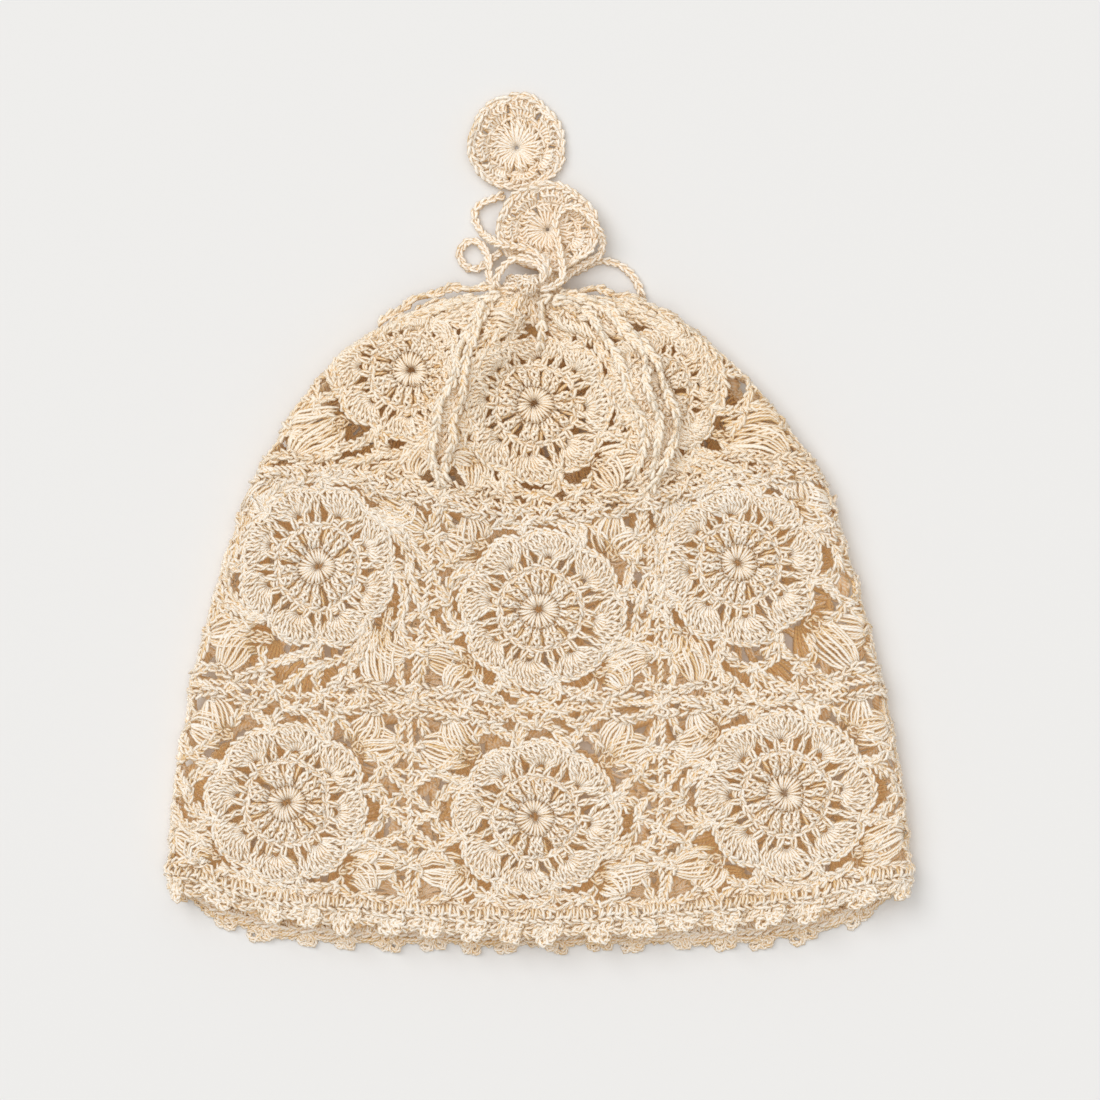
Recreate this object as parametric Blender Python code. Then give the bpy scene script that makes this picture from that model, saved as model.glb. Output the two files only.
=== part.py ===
"""A crocheted cotton hat that lies flat, its front layer on its back layer, drawn shut at the top.

The lace is a tube of square motifs, 6 round and 3 rows high. Each motif is modelled flat on a
chart and then wrapped onto the shape of the lying hat. On the chart the first number counts
motifs round the hat from the middle of the front, the second counts motifs up from the hem, and
the third is the depth under the outer side of the lace. The opening faces -Y and the back layer
lies on z = 0.
"""

import math

import bmesh
import bpy
import numpy as np
from mathutils import Vector

# Driving sizes, in metres
HEM_WIDTH = 0.270  # across the opening, lying flat
BODY_HEIGHT = 0.240  # picots to gathered top, lying flat
WALL = 0.0026  # thickness of the crochet
HOLLOW = 0.0090  # clear height between the two layers
CLEARANCE = 0.0003  # between neighbouring pieces
SEAM = 0.0005  # between two motifs that are joined
HEM_SEAM = 0.0008  # between the motifs and the band below them
BAND_HEIGHT = 0.0032  # close band round the opening
PICOT_HEIGHT = 0.0052  # points below the band
PICOT_ROOT = 0.0006  # edge between two points
NECK_WIDTH = 0.0144  # gathered neck, side to side
NECK_DEPTH = 0.0100  # gathered neck, front to back
NECK_LIFT = 0.0038  # underside of the neck above the surface
NECK_X = -0.0021  # the neck is gathered a little left of the middle
WAIST = 0.0014  # from the crown to the drawstring
FRILL_HEIGHT = 0.0060  # frill past the neck
FRILL_FLARE = 0.0016  # how far its rim spreads
FLUTE = 0.0010  # height of the small pleats at the neck
RIDGE = 0.0071  # height of the two large folds of the crown
CORD = 0.0027  # thickness of the crocheted drawstring
KNOT_WIDTH = 0.0080
KNOT_DEPTH = 0.0058
KNOT_ASIDE = -0.0018  # from the middle of the neck
MEDALLION = 0.0352  # across a medallion
MEDALLION_CUP = 0.0036  # how far the lower medallion's rim stands up
MEDALLION_CURL = 0.0040  # how far the upper medallion's left edge curls up
MEDALLION_LIFT = 0.0031  # the lower medallion lies above the floor on the cords

# Each motif, as shares of its own width: round openwork flower, net, and the frame of chains
FLOWER_HOLE = 0.035
FLOWER_WEB = 0.19
FLOWER_EDGE = 0.37
FRAME_EDGE = 0.455
CORNER_REACH = 0.56  # how far a corner gap reaches from the motif's middle

MOTIFS_PER_LAYER = 3
MOTIF_ROWS = 3
PICOTS_PER_MOTIF = 6
STEPS_PER_PICOT = 2
MOTIF_STEPS = PICOTS_PER_MOTIF * STEPS_PER_PICOT  # steps of the hem along one motif
SPOKE_STEPS = (1, 3, 5)  # where a motif's spokes meet its edge, in steps from the edge's middle
FRILL_STEPS = 32
FRILL_FLUTES = 8
THICKNESS = HOLLOW + 2 * WALL
FOLD_AT = MOTIFS_PER_LAYER / 2  # chart place of the right side fold; the left one is at minus this
AROUND = 2 * MOTIFS_PER_LAYER
PITCH = (2 * (HEM_WIDTH - THICKNESS) + math.pi * THICKNESS) / AROUND  # width of one motif
FOLD_TURN = THICKNESS * math.pi / 4 / PITCH  # chart width of a quarter turn at a side fold

# How the lace lies. A row is a level, in motifs up from the band. The first seven columns after
# it are places across, as shares of half the hem's width: left fold, left motif, left joint,
# middle motif, right joint, right motif, right fold. The next four are places up, as shares of
# the body's height: middle, joints, side motifs, folds. The last four are shares: thickness of
# the two layers together, and how far the gathered neck's, the ridges' and the middle dip's
# shape has set in.
LIE_COLUMNS = (
    "level", "fold_l", "motif_l", "joint_l", "middle", "joint_r", "motif_r", "fold_r",
    "up_middle", "up_joint", "up_motif", "up_fold", "thick", "neck", "ridge", "dip",
)
LIE = np.array([
    (0.00, -0.988, -0.668, -0.342, -0.013, 0.328, 0.662, 0.996,
     0.064, 0.074, 0.092, 0.131, 0.95, 0.00, 0.00, 0.00),
    (0.50, -0.970, -0.665, -0.339, -0.013, 0.326, 0.662, 0.972,
     0.204, 0.216, 0.235, 0.256, 1.00, 0.00, 0.00, 0.00),
    (1.00, -0.922, -0.630, -0.334, -0.008, 0.328, 0.620, 0.919,
     0.363, 0.379, 0.390, 0.409, 1.00, 0.00, 0.00, 0.00),
    (1.50, -0.837, -0.580, -0.294, -0.003, 0.305, 0.527, 0.834,
     0.510, 0.542, 0.580, 0.589, 1.00, 0.00, 0.05, 0.00),
    (2.00, -0.742, -0.498, -0.254, 0.005, 0.281, 0.495, 0.747,
     0.665, 0.683, 0.720, 0.725, 1.10, 0.00, 0.30, 0.10),
    (2.50, -0.538, -0.339, -0.207, -0.003, 0.278, 0.366, 0.509,
     0.820, 0.836, 0.860, 0.890, 1.25, 0.30, 1.00, 0.30),
    (2.75, -0.286, -0.193, -0.135, -0.010, 0.164, 0.230, 0.310,
     0.905, 0.915, 0.940, 0.966, 1.20, 0.70, 0.55, 0.90),
    (3.00, -1.000, -0.866, -0.500, 0.000, 0.500, 0.866, 1.000,
     0.985, 0.985, 0.985, 0.985, 1.00, 1.00, 0.00, 0.00),
])
MIDDLE_UP = 0.505  # share of the body's height at which the origin lies
BACK_DROP_MIDDLE = 0.030  # how far the back layer's hem lies below the front's, share of height
BACK_DROP_SIDE = 0.049
DROP_SETS_IN = 0.34  # chart width, from a side fold, over which the drop grows
RIDGE_WIDTH = 0.20  # on the chart
DIP_WIDTH = 0.22
LIFT_FROM = 2.5  # level from which the lace rises to the neck
PLEATS_FROM = 2.6  # level from which it is pleated

# The free cords, in the order of their points from where they leave the gathered top
CORD_ROUTES = {
    "bow_loop_front": (
        (0.0009, 0.1191, 0.0200), (0.0020, 0.1220, 0.0195), (0.0004, 0.1250, 0.0183),
        (-0.0032, 0.1273, 0.0170), (-0.0075, 0.1277, 0.0160), (-0.0114, 0.1257, 0.0150),
        (-0.0141, 0.1223, 0.0135), (-0.0152, 0.1191, 0.0120), (-0.0148, 0.1170, 0.0110),
    ),
    "bow_loop_right": (
        (0.0011, 0.1162, 0.0195), (0.0054, 0.1177, 0.0168), (0.0082, 0.1198, 0.0160),
        (0.0088, 0.1245, 0.0140), (0.0077, 0.1309, 0.0110), (0.0066, 0.1373, 0.0089),
        (0.0063, 0.1420, 0.0090), (0.0079, 0.1450, 0.0094), (0.0113, 0.1466, 0.0102),
        (0.0150, 0.1456, 0.0110), (0.0186, 0.1424, 0.0116), (0.0215, 0.1384, 0.0122),
        (0.0232, 0.1341, 0.0076), (0.0222, 0.1298, 0.0052), (0.0175, 0.1268, 0.0050),
        (0.0132, 0.1243, 0.0053), (0.0104, 0.1216, 0.0090), (0.0089, 0.1202, 0.0120),
    ),
    "bow_loop_back": (
        (0.0036, 0.1234, 0.0050), (0.0079, 0.1229, 0.0030), (0.0116, 0.1230, 0.0022),
        (0.0157, 0.1248, 0.0017), (0.0200, 0.1272, 0.0015), (0.0243, 0.1278, 0.0015),
        (0.0292, 0.1263, 0.0015), (0.0332, 0.1234, 0.0015), (0.0361, 0.1188, 0.0015),
        (0.0375, 0.1148, 0.0015),
    ),
    "tail_lower": (
        (-0.0132, 0.1180, 0.0072), (-0.0166, 0.1188, 0.0072), (-0.0177, 0.1220, 0.0068),
        (-0.0175, 0.1256, 0.0060),
        (-0.0179, 0.1291, 0.0050), (-0.0197, 0.1325, 0.0032), (-0.0229, 0.1350, 0.0016),
        (-0.0265, 0.1338, 0.0015), (-0.0283, 0.1302, 0.0015), (-0.0268, 0.1264, 0.0015),
        (-0.0232, 0.1246, 0.0015), (-0.0197, 0.1261, 0.0016), (-0.0171, 0.1281, 0.0024),
        (-0.0151, 0.1294, 0.0046), (-0.0134, 0.1304, 0.0068),
    ),
    "tail_upper": (
        (0.0039, 0.1214, 0.0155), (0.0036, 0.1241, 0.0153), (0.0018, 0.1273, 0.0136),
        (-0.0011, 0.1300, 0.0120), (-0.0046, 0.1314, 0.0112), (-0.0086, 0.1323, 0.0112),
        (-0.0118, 0.1325, 0.0120), (-0.0141, 0.1331, 0.0122), (-0.0168, 0.1350, 0.0085),
        (-0.0197, 0.1373, 0.0022), (-0.0222, 0.1409, 0.0015), (-0.0229, 0.1449, 0.0015),
        (-0.0207, 0.1481, 0.0015), (-0.0172, 0.1497, 0.0015), (-0.0127, 0.1513, 0.0015),
    ),
}
CORD_STEP = 0.0042  # between the points of a cord's tube
LOWER_MEDALLION_AT = (0.0032, 0.1388)
UPPER_MEDALLION_AT = (-0.0077, 0.1688)
LOWER_STRETCH = (1.056, 0.925)  # the lower one is a little oval
UPPER_STRETCH = (0.985, 1.015)

# Colours and roughness
COTTON = (0.80, 0.70, 0.52)
CORD_COTTON = (0.83, 0.74, 0.57)
ROUGHNESS = 0.9


def clear_scene():
    for thing in list(bpy.data.objects):
        bpy.data.objects.remove(thing, do_unlink=True)


def make_collection(name):
    group = bpy.data.collections.new(name)
    bpy.context.scene.collection.children.link(group)
    return group


def cotton(name, colour):
    material = bpy.data.materials.new(name)
    material.use_nodes = True
    shader = material.node_tree.nodes["Principled BSDF"]
    shader.inputs["Base Color"].default_value = (*colour, 1.0)
    shader.inputs["Roughness"].default_value = ROUGHNESS
    shader.inputs["Metallic"].default_value = 0.0
    material.diffuse_color = (*colour, 1.0)
    return material


def curve_weights(knots, at):
    """Shares of each knot's value in a smooth curve through them, one row per place."""
    knots = np.asarray(knots, float)
    at = np.clip(np.atleast_1d(np.asarray(at, float)), knots[0], knots[-1])
    last = len(knots) - 1
    low = np.clip(np.searchsorted(knots, at, "right") - 1, 0, last - 1)
    span = knots[low + 1] - knots[low]
    t = (at - knots[low]) / span
    rows = np.arange(len(at))
    shares = np.zeros((len(at), len(knots)))
    shares[rows, low] += (1 + 2 * t) * (1 - t) ** 2
    shares[rows, low + 1] += t * t * (3 - 2 * t)
    for knot, slope_share in ((low, t * (1 - t) ** 2), (low + 1, t * t * (t - 1))):
        before = np.maximum(knot - 1, 0)
        after = np.minimum(knot + 1, last)
        pull = slope_share * span / (knots[after] - knots[before])
        shares[rows, after] += pull
        shares[rows, before] -= pull
    return shares


def soft_step(at):
    at = np.clip(at, 0.0, 1.0)
    return at * at * (3 - 2 * at)


def lie_values(level):
    """The columns of LIE at a level, with the places across and up in metres."""
    shares = curve_weights(LIE[:, 0], level)
    table = LIE.copy()
    table[:, 1:8] *= HEM_WIDTH / 2
    table[-1, 1:8] = NECK_X + LIE[-1, 1:8] * NECK_WIDTH / 2
    table[:, 8:12] *= BODY_HEIGHT
    table[:, 12] *= THICKNESS / 2
    table[-1, 12] = NECK_DEPTH / 2
    values = shares @ table
    return {name: values[:, i] for i, name in enumerate(LIE_COLUMNS)}


def outer_surface(around, level):
    """Points of the outer side of the lace, for places round the hat and levels."""
    around = (np.asarray(around, float) + FOLD_AT) % AROUND - FOLD_AT
    level = np.asarray(level, float)
    lie = lie_values(level)
    back = around > FOLD_AT
    across = np.where(back, 2 * FOLD_AT - around, around)
    side = np.where(back, -1.0, 1.0)
    span = np.abs(across)
    flat_to = FOLD_AT - FOLD_TURN
    turn = np.clip((span - flat_to) / FOLD_TURN, 0.0, 1.0) * math.pi / 2
    half = lie["thick"]
    neck = np.clip(lie["neck"], 0.0, 1.0)
    full_turn = across * math.pi / (2 * FOLD_AT)

    knots = (-flat_to, -1.0, -0.5, 0.0, 0.5, 1.0, flat_to)
    places = np.stack([
        lie["fold_l"] + half, lie["motif_l"], lie["joint_l"], lie["middle"],
        lie["joint_r"], lie["motif_r"], lie["fold_r"] - half,
    ], axis=1)
    flat_x = (curve_weights(knots, across) * places).sum(axis=1)
    flat_x += np.sign(across) * half * np.sin(turn)
    neck_x = (lie["fold_l"] + lie["fold_r"]) / 2
    neck_x += (lie["fold_r"] - lie["fold_l"]) / 2 * np.sin(full_turn)
    x = (1 - neck) * flat_x + neck * neck_x

    ups = np.stack([lie["up_" + name] for name in (
        "joint", "middle", "joint", "motif", "fold", "motif"
    )], axis=1)
    columns = (-0.5, 0.0, 0.5, 1.0, FOLD_AT, 2 * FOLD_AT - 1)
    y = (curve_weights(columns, span) * ups).sum(axis=1)
    fade = np.clip(1 - level / MOTIF_ROWS, 0.0, 1.0)
    drop = BACK_DROP_MIDDLE + (BACK_DROP_SIDE - BACK_DROP_MIDDLE) * np.minimum(span, 1.0)
    drop = drop * BODY_HEIGHT * fade * soft_step((FOLD_AT - span) / DROP_SETS_IN)
    y -= np.where(back, drop, 0.0)
    y += (np.minimum(level, 0.0) + np.maximum(level - MOTIF_ROWS, 0.0)) * PITCH
    y -= MIDDLE_UP * BODY_HEIGHT

    profile = (1 - neck) * np.cos(turn) + neck * np.cos(full_turn)
    lift = NECK_LIFT * soft_step((level - LIFT_FROM) / (MOTIF_ROWS - LIFT_FROM))
    ridge = RIDGE * lie["ridge"] * np.exp(-(((span - 0.5) / RIDGE_WIDTH) ** 2))
    dip = RIDGE * lie["dip"] * np.exp(-((across / DIP_WIDTH) ** 2))
    z = half + lift + side * half * profile + np.where(back, 0.0, ridge - dip)
    return np.stack([x, y, z], axis=1)


def wrap(chart):
    """Carries chart points (around, level, depth) onto the lying hat."""
    chart = np.asarray(chart, float)
    around, level, depth = chart[:, 0], chart[:, 1], chart[:, 2]
    step = 1e-4
    along = outer_surface(around + step, level) - outer_surface(around - step, level)
    up = outer_surface(around, level + step) - outer_surface(around, level - step)
    outward = np.cross(along, up)
    outward /= np.linalg.norm(outward, axis=1, keepdims=True)
    pleat = -np.cos(2 * math.pi * around) * FLUTE
    pleat *= soft_step((level - PLEATS_FROM) / (MOTIF_ROWS - PLEATS_FROM))
    return outer_surface(around, level) + outward * (pleat - depth)[:, None]


def add_object(group, name, shape, material):
    """Turns a bmesh into a named object of the hat."""
    bmesh.ops.recalc_face_normals(shape, faces=shape.faces)
    if shape.calc_volume(signed=True) < 0:
        bmesh.ops.reverse_faces(shape, faces=shape.faces)
    mesh = bpy.data.meshes.new(name)
    shape.to_mesh(mesh)
    shape.free()
    mesh.materials.append(material)
    mesh.shade_smooth()
    mesh.set_sharp_from_angle(angle=math.radians(40))
    thing = bpy.data.objects.new(name, mesh)
    group.objects.link(thing)
    return thing


def thicken_on_chart(shape, wall):
    """Gives flat chart faces their depth by extruding them, before they are wrapped."""
    made = bmesh.ops.extrude_face_region(shape, geom=list(shape.faces), use_keep_orig=True)
    for item in made["geom"]:
        if isinstance(item, bmesh.types.BMVert):
            item.co.z = wall


def split_rims(shape):
    """Splits the faces of a motif's outer rim, each from the outer point nearer its corner, so
    that two motifs which meet have their rims folded the same way."""
    middle = sum((vert.co for vert in shape.verts), Vector()) / len(shape.verts)

    def reach(vert):
        return (vert.co.xy - middle.xy).length

    rim = [face for face in shape.faces if len({vert.co.z for vert in face.verts}) == 2]
    for face in rim:
        outer = max((vert for vert in face.verts if vert.co.z == 0), key=reach)
        inner = min((vert for vert in face.verts if vert.co.z > 0), key=reach)
        bmesh.utils.face_split(face, outer, inner)


def wrap_shape(shape):
    places = wrap([tuple(vert.co) for vert in shape.verts])
    for vert, place in zip(shape.verts, places):
        vert.co = place


def motif_angles():
    """Directions of the spokes. The first and last of a quarter hold the side gaps between
    them, and the three round its corner hold the corner gap."""
    half_edge = MOTIF_STEPS / 2
    first = [math.atan2(step, half_edge) for step in SPOKE_STEPS] + [math.pi / 4]
    quarter = first + [math.pi / 2 - angle for angle in first[-2::-1]]
    return [math.pi / 2 * turn + angle for turn in range(4) for angle in quarter]


def squeeze(level):
    """How much narrower a motif is drawn, so that seams stay open where the neck gathers them."""
    neck_round = math.pi * (NECK_WIDTH + NECK_DEPTH) / 2
    return SEAM * AROUND / neck_round * soft_step(level - MOTIF_ROWS + 1)


def motif_radius(ring, angle):
    """Distance of one ring of the motif from its middle, in one direction."""
    square = 1 / max(abs(math.cos(angle)), abs(math.sin(angle)))
    if ring == "border":
        return (0.5 - SEAM / 2 / PITCH) * square
    if ring == "frame":
        return min(FRAME_EDGE * square, CORNER_REACH)
    return {"hole": FLOWER_HOLE, "web": FLOWER_WEB, "flower": FLOWER_EDGE}[ring]


def is_gap(spoke, crown):
    """Whether the net is open between a spoke and the next. The crown's top corners are bunched."""
    corner = len(SPOKE_STEPS)
    quarter, place = divmod(spoke, 2 * corner + 1)
    if place in (corner - 1, corner):
        return not (crown and quarter in (0, 1))
    return place == 2 * corner and quarter in (1, 3)


def make_motif(group, name, column, row, material):
    crown = row == MOTIF_ROWS - 1
    back = column > FOLD_AT
    shape = bmesh.new()
    rings = ("hole", "web", "flower", "frame", "border")
    if back or not crown:
        rings = tuple(ring for ring in rings if ring != "web")
    spokes = motif_angles()
    grid = []
    for ring in rings:
        line = []
        for angle in spokes:
            radius = motif_radius(ring, angle)
            level = row + 0.5 + radius * math.sin(angle)
            across = radius * math.cos(angle) * (1 - squeeze(level))
            line.append(shape.verts.new((column + across, level, 0)))
        grid.append(line)
    for inner, outer, ring in zip(grid, grid[1:], rings):
        for i in range(len(spokes)):
            after = (i + 1) % len(spokes)
            if ring == "flower" and is_gap(i, crown):
                continue
            shape.faces.new((inner[i], outer[i], outer[after], inner[after]))
    thicken_on_chart(shape, WALL)
    split_rims(shape)
    wrap_shape(shape)
    return add_object(group, name, shape, material)


def make_motifs(group, material):
    rows = ("low", "mid", "top")
    front = ("left", "middle", "right")
    for row, row_name in enumerate(rows):
        for place, side in enumerate(front):
            column = place - 1
            make_motif(group, f"motif_front_{row_name}_{side}", column, row, material)
            behind = MOTIFS_PER_LAYER - column
            make_motif(group, f"motif_back_{row_name}_{side}", behind, row, material)


def ring_on_chart(shape, steps, levels):
    """A closed strip round the hat. levels gives each line's level for a step round."""
    lines = []
    for level in levels:
        lines.append([
            shape.verts.new((i * AROUND / steps - FOLD_AT, level(i), 0)) for i in range(steps)
        ])
    for low, high in zip(lines, lines[1:]):
        for i in range(steps):
            after = (i + 1) % steps
            shape.faces.new((low[i], low[after], high[after], high[i]))


def seat_on_motifs(shape, level):
    """Lays the hem's top line along the straight edges of the motifs, spoke end to spoke end."""
    half = MOTIF_STEPS // 2
    ends = sorted({half - step for step in (*SPOKE_STEPS, half)} | {half + s for s in SPOKE_STEPS})
    stops = [motif * MOTIF_STEPS + end for motif in range(AROUND) for end in ends]
    stops.append(AROUND * MOTIF_STEPS)
    for vert in shape.verts:
        around, at, depth = vert.co
        if abs(at - level) > 1e-6:
            continue
        step = round((around + FOLD_AT) * MOTIF_STEPS)
        after = next(i for i, stop in enumerate(stops) if stop > step)
        low, high = stops[after - 1], stops[after]
        share = (step - low) / (high - low)
        sides = wrap([(stop / MOTIF_STEPS - FOLD_AT, level, depth) for stop in (low, high)])
        yield vert, sides[0] * (1 - share) + sides[1] * share


def make_hem_band(group, material):
    shape = bmesh.new()
    top = -HEM_SEAM / PITCH
    band = -BAND_HEIGHT / PITCH
    tip = band - PICOT_HEIGHT / PITCH

    def picot_edge(i):
        return band - PICOT_ROOT / PITCH if i % STEPS_PER_PICOT == 0 else tip

    ring_on_chart(shape, AROUND * MOTIF_STEPS, (picot_edge, lambda i: band, lambda i: top))
    thicken_on_chart(shape, WALL)
    seats = list(seat_on_motifs(shape, top))
    wrap_shape(shape)
    for vert, place in seats:
        vert.co = place
    return add_object(group, "hem_band", shape, material)


def neck_up(along):
    """Height on the page of a place on the gathered neck, a distance past the crown's edge."""
    return lie_values(MOTIF_ROWS)["up_middle"][0] - MIDDLE_UP * BODY_HEIGHT + along


def neck_ring(away, steps, along):
    """Points round the gathered neck, a distance out from it and along it."""
    half_width = NECK_WIDTH / 2 + away
    half_depth = NECK_DEPTH / 2 + away
    up = neck_up(along)
    middle = NECK_LIFT + NECK_DEPTH / 2
    points = []
    for i in range(steps):
        turn = 2 * math.pi * i / steps
        points.append((
            NECK_X + half_width * math.sin(turn), up, middle + half_depth * math.cos(turn),
        ))
    return points


def make_gathered_top(group, material):
    """The fluted frill: a narrow waist that the drawstring sits in, and a spread rim."""
    shape = bmesh.new()
    waist = WAIST + CORD / 2
    profile = (
        (CLEARANCE, 0.0), (waist, -0.0003), (waist + CORD / 2 + CLEARANCE, 0.0004),
        (FRILL_HEIGHT, FRILL_FLARE),
    )
    walls = []
    for inside in (0.0, WALL * 0.8):
        lines = []
        for along, spread in profile:
            line = []
            for i, place in enumerate(neck_ring(spread - inside, FRILL_STEPS, along)):
                turn = 2 * math.pi * i / FRILL_STEPS
                wave = FLUTE * 0.6 * math.cos(FRILL_FLUTES * turn) * (along / FRILL_HEIGHT)
                line.append(shape.verts.new((
                    place[0] + wave * math.sin(turn), place[1], place[2] + wave * math.cos(turn),
                )))
            lines.append(line)
        walls.append(lines)
    outer, inner = walls
    loop = outer + inner[::-1]
    for low, high in zip(loop, loop[1:] + loop[:1]):
        for i in range(FRILL_STEPS):
            after = (i + 1) % FRILL_STEPS
            shape.faces.new((low[i], low[after], high[after], high[i]))
    return add_object(group, "gathered_top", shape, material)


def tube_from(group, name, points, material, closed=False):
    """A round tube along points, as a curve with a bevel."""
    curve = bpy.data.curves.new(name, "CURVE")
    curve.dimensions = "3D"
    curve.bevel_depth = CORD / 2
    curve.bevel_resolution = 2
    curve.use_fill_caps = not closed
    line = curve.splines.new("POLY")
    line.points.add(len(points) - 1)
    for point, place in zip(line.points, points):
        point.co = (*place, 1.0)
    line.use_cyclic_u = closed
    line.use_smooth = True
    curve.materials.append(material)
    thing = bpy.data.objects.new(name, curve)
    group.objects.link(thing)
    return thing


def smooth_route(points, step):
    """Evenly spaced points of the smooth curve through a cord's chosen points."""
    points = np.array(points)
    chords = np.linalg.norm(np.diff(points, axis=0), axis=1)
    knots = np.concatenate([[0], np.cumsum(chords)])
    fine = curve_weights(knots, np.linspace(0, knots[-1], 40 * len(points))) @ points
    along = np.concatenate([[0], np.cumsum(np.linalg.norm(np.diff(fine, axis=0), axis=1))])
    count = max(4, round(along[-1] / step) + 1)
    at = np.linspace(0, along[-1], count)
    return np.stack([np.interp(at, along, fine[:, k]) for k in range(3)], axis=1)


def make_cords(group, material):
    waist = WAIST + CORD / 2
    away = FLUTE * 0.6 + CORD / 2 + CLEARANCE
    tube_from(group, "drawstring", neck_ring(away, 20, waist), material, closed=True)
    for name, route in CORD_ROUTES.items():
        tube_from(group, name, [tuple(p) for p in smooth_route(route, CORD_STEP)], material)


def make_knot(group, material):
    shape = bmesh.new()
    bmesh.ops.create_uvsphere(shape, u_segments=12, v_segments=8, radius=0.5)
    front = NECK_LIFT + NECK_DEPTH + FLUTE * 0.6 + CORD + 2 * CLEARANCE
    up = neck_up(WAIST + CORD / 2)
    for vert in shape.verts:
        vert.co.x = NECK_X + KNOT_ASIDE + vert.co.x * KNOT_WIDTH
        vert.co.y = up + vert.co.y * KNOT_WIDTH
        vert.co.z = front + KNOT_DEPTH / 2 + vert.co.z * KNOT_DEPTH
    return add_object(group, "bow_knot", shape, material)


def make_medallion(group, name, middle, stretch, height, material):
    """A scalloped disc with a small hole. height gives its underside for a place on it."""
    shape = bmesh.new()
    lobes = 8
    steps = 2 * lobes
    rings = (0.08, 0.60, 1.0)
    lines = []
    for share in rings:
        line = []
        for i in range(steps):
            turn = 2 * math.pi * (i + 0.5) / steps
            scallop = 0.95 if share == rings[-1] and i % 2 else 1.0
            radius = MEDALLION / 2 * share * scallop
            line.append(shape.verts.new((
                radius * stretch[0] * math.cos(turn), radius * stretch[1] * math.sin(turn), 0,
            )))
        lines.append(line)
    for inner, outer in zip(lines, lines[1:]):
        for i in range(steps):
            after = (i + 1) % steps
            shape.faces.new((inner[i], outer[i], outer[after], inner[after]))
    thicken_on_chart(shape, WALL)
    for vert in shape.verts:
        vert.co.z += height(vert.co.x, vert.co.y)
        vert.co.x += middle[0]
        vert.co.y += middle[1]
    return add_object(group, name, shape, material)


def make_medallions(group, material):
    half = MEDALLION / 2

    def cupped(x, y):
        reach = math.hypot(x / LOWER_STRETCH[0], y / LOWER_STRETCH[1]) / half
        return MEDALLION_LIFT + MEDALLION_CUP * reach**2

    def curled(x, y):
        edge = (-x / half / UPPER_STRETCH[0] - 0.35) / 0.65
        return MEDALLION_CURL * max(0.0, edge) ** 2

    make_medallion(
        group, "medallion_lower", LOWER_MEDALLION_AT, LOWER_STRETCH, cupped, material
    )
    make_medallion(
        group, "medallion_upper", UPPER_MEDALLION_AT, UPPER_STRETCH, curled, material
    )


def main():
    clear_scene()
    hat = make_collection("crochet_beanie")
    lace = cotton("cotton_lace", COTTON)
    cord = cotton("cotton_cord", CORD_COTTON)
    make_motifs(hat, lace)
    make_hem_band(hat, lace)
    make_gathered_top(hat, lace)
    make_cords(hat, cord)
    make_knot(hat, cord)
    make_medallions(hat, cord)


main()
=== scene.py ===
import math
from functools import partial

import bpy
import numpy as np
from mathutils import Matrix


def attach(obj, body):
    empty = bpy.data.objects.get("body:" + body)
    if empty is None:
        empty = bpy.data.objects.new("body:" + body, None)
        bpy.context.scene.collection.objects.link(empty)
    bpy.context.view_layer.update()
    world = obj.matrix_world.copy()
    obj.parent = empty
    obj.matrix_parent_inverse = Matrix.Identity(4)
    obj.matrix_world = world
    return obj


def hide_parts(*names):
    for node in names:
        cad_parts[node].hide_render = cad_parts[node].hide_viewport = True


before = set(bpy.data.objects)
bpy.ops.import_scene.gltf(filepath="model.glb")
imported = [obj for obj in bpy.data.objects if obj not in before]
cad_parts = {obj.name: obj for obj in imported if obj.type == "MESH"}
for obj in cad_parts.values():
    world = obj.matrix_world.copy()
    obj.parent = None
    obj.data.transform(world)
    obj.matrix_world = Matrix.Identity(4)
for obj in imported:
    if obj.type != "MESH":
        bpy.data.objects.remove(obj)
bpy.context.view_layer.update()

print("beanie: frame loaded")

studio = {
    "lookAt": (0.0043, 0.0236, 0.012),  # middle of the view, at the height of the lace
    "distance": 1.5,  # camera above that place
    "viewWidth": 0.3934,  # metres across the picture
    "sensor": 36.0,  # millimetres
    "skyColour": (1.0, 0.96, 0.90),
    "skyStrength": 0.50,
    # direction, degrees across (wide lights give soft shadows), strength
    "lights": {
        "keyLight": ((-0.62, 0.58, 1.0), 36.0, 1.15),
        "topLight": ((-0.04, 0.04, 1.0), 48.0, 1.00),
    },
    "lightColour": (0.955, 0.971, 0.988),
    "floorColour": (0.80, 0.80, 0.80),
    "floorPatches": 0.985,  # how much darker it is here and there
    "floorHalf": 3.0,
    "floorDrop": 0.0003,  # below the hat
}


def addObject(name, data):
    thing = bpy.data.objects.new(name, data)
    bpy.context.scene.collection.objects.link(thing)
    return thing


def fill(node, inputs):
    # each input is a value, or another node's output
    for key, value in inputs.items():
        if isinstance(value, bpy.types.NodeSocket):
            node.id_data.links.new(value, node.inputs[key])
        else:
            node.inputs[key].default_value = value
    return node.outputs


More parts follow.
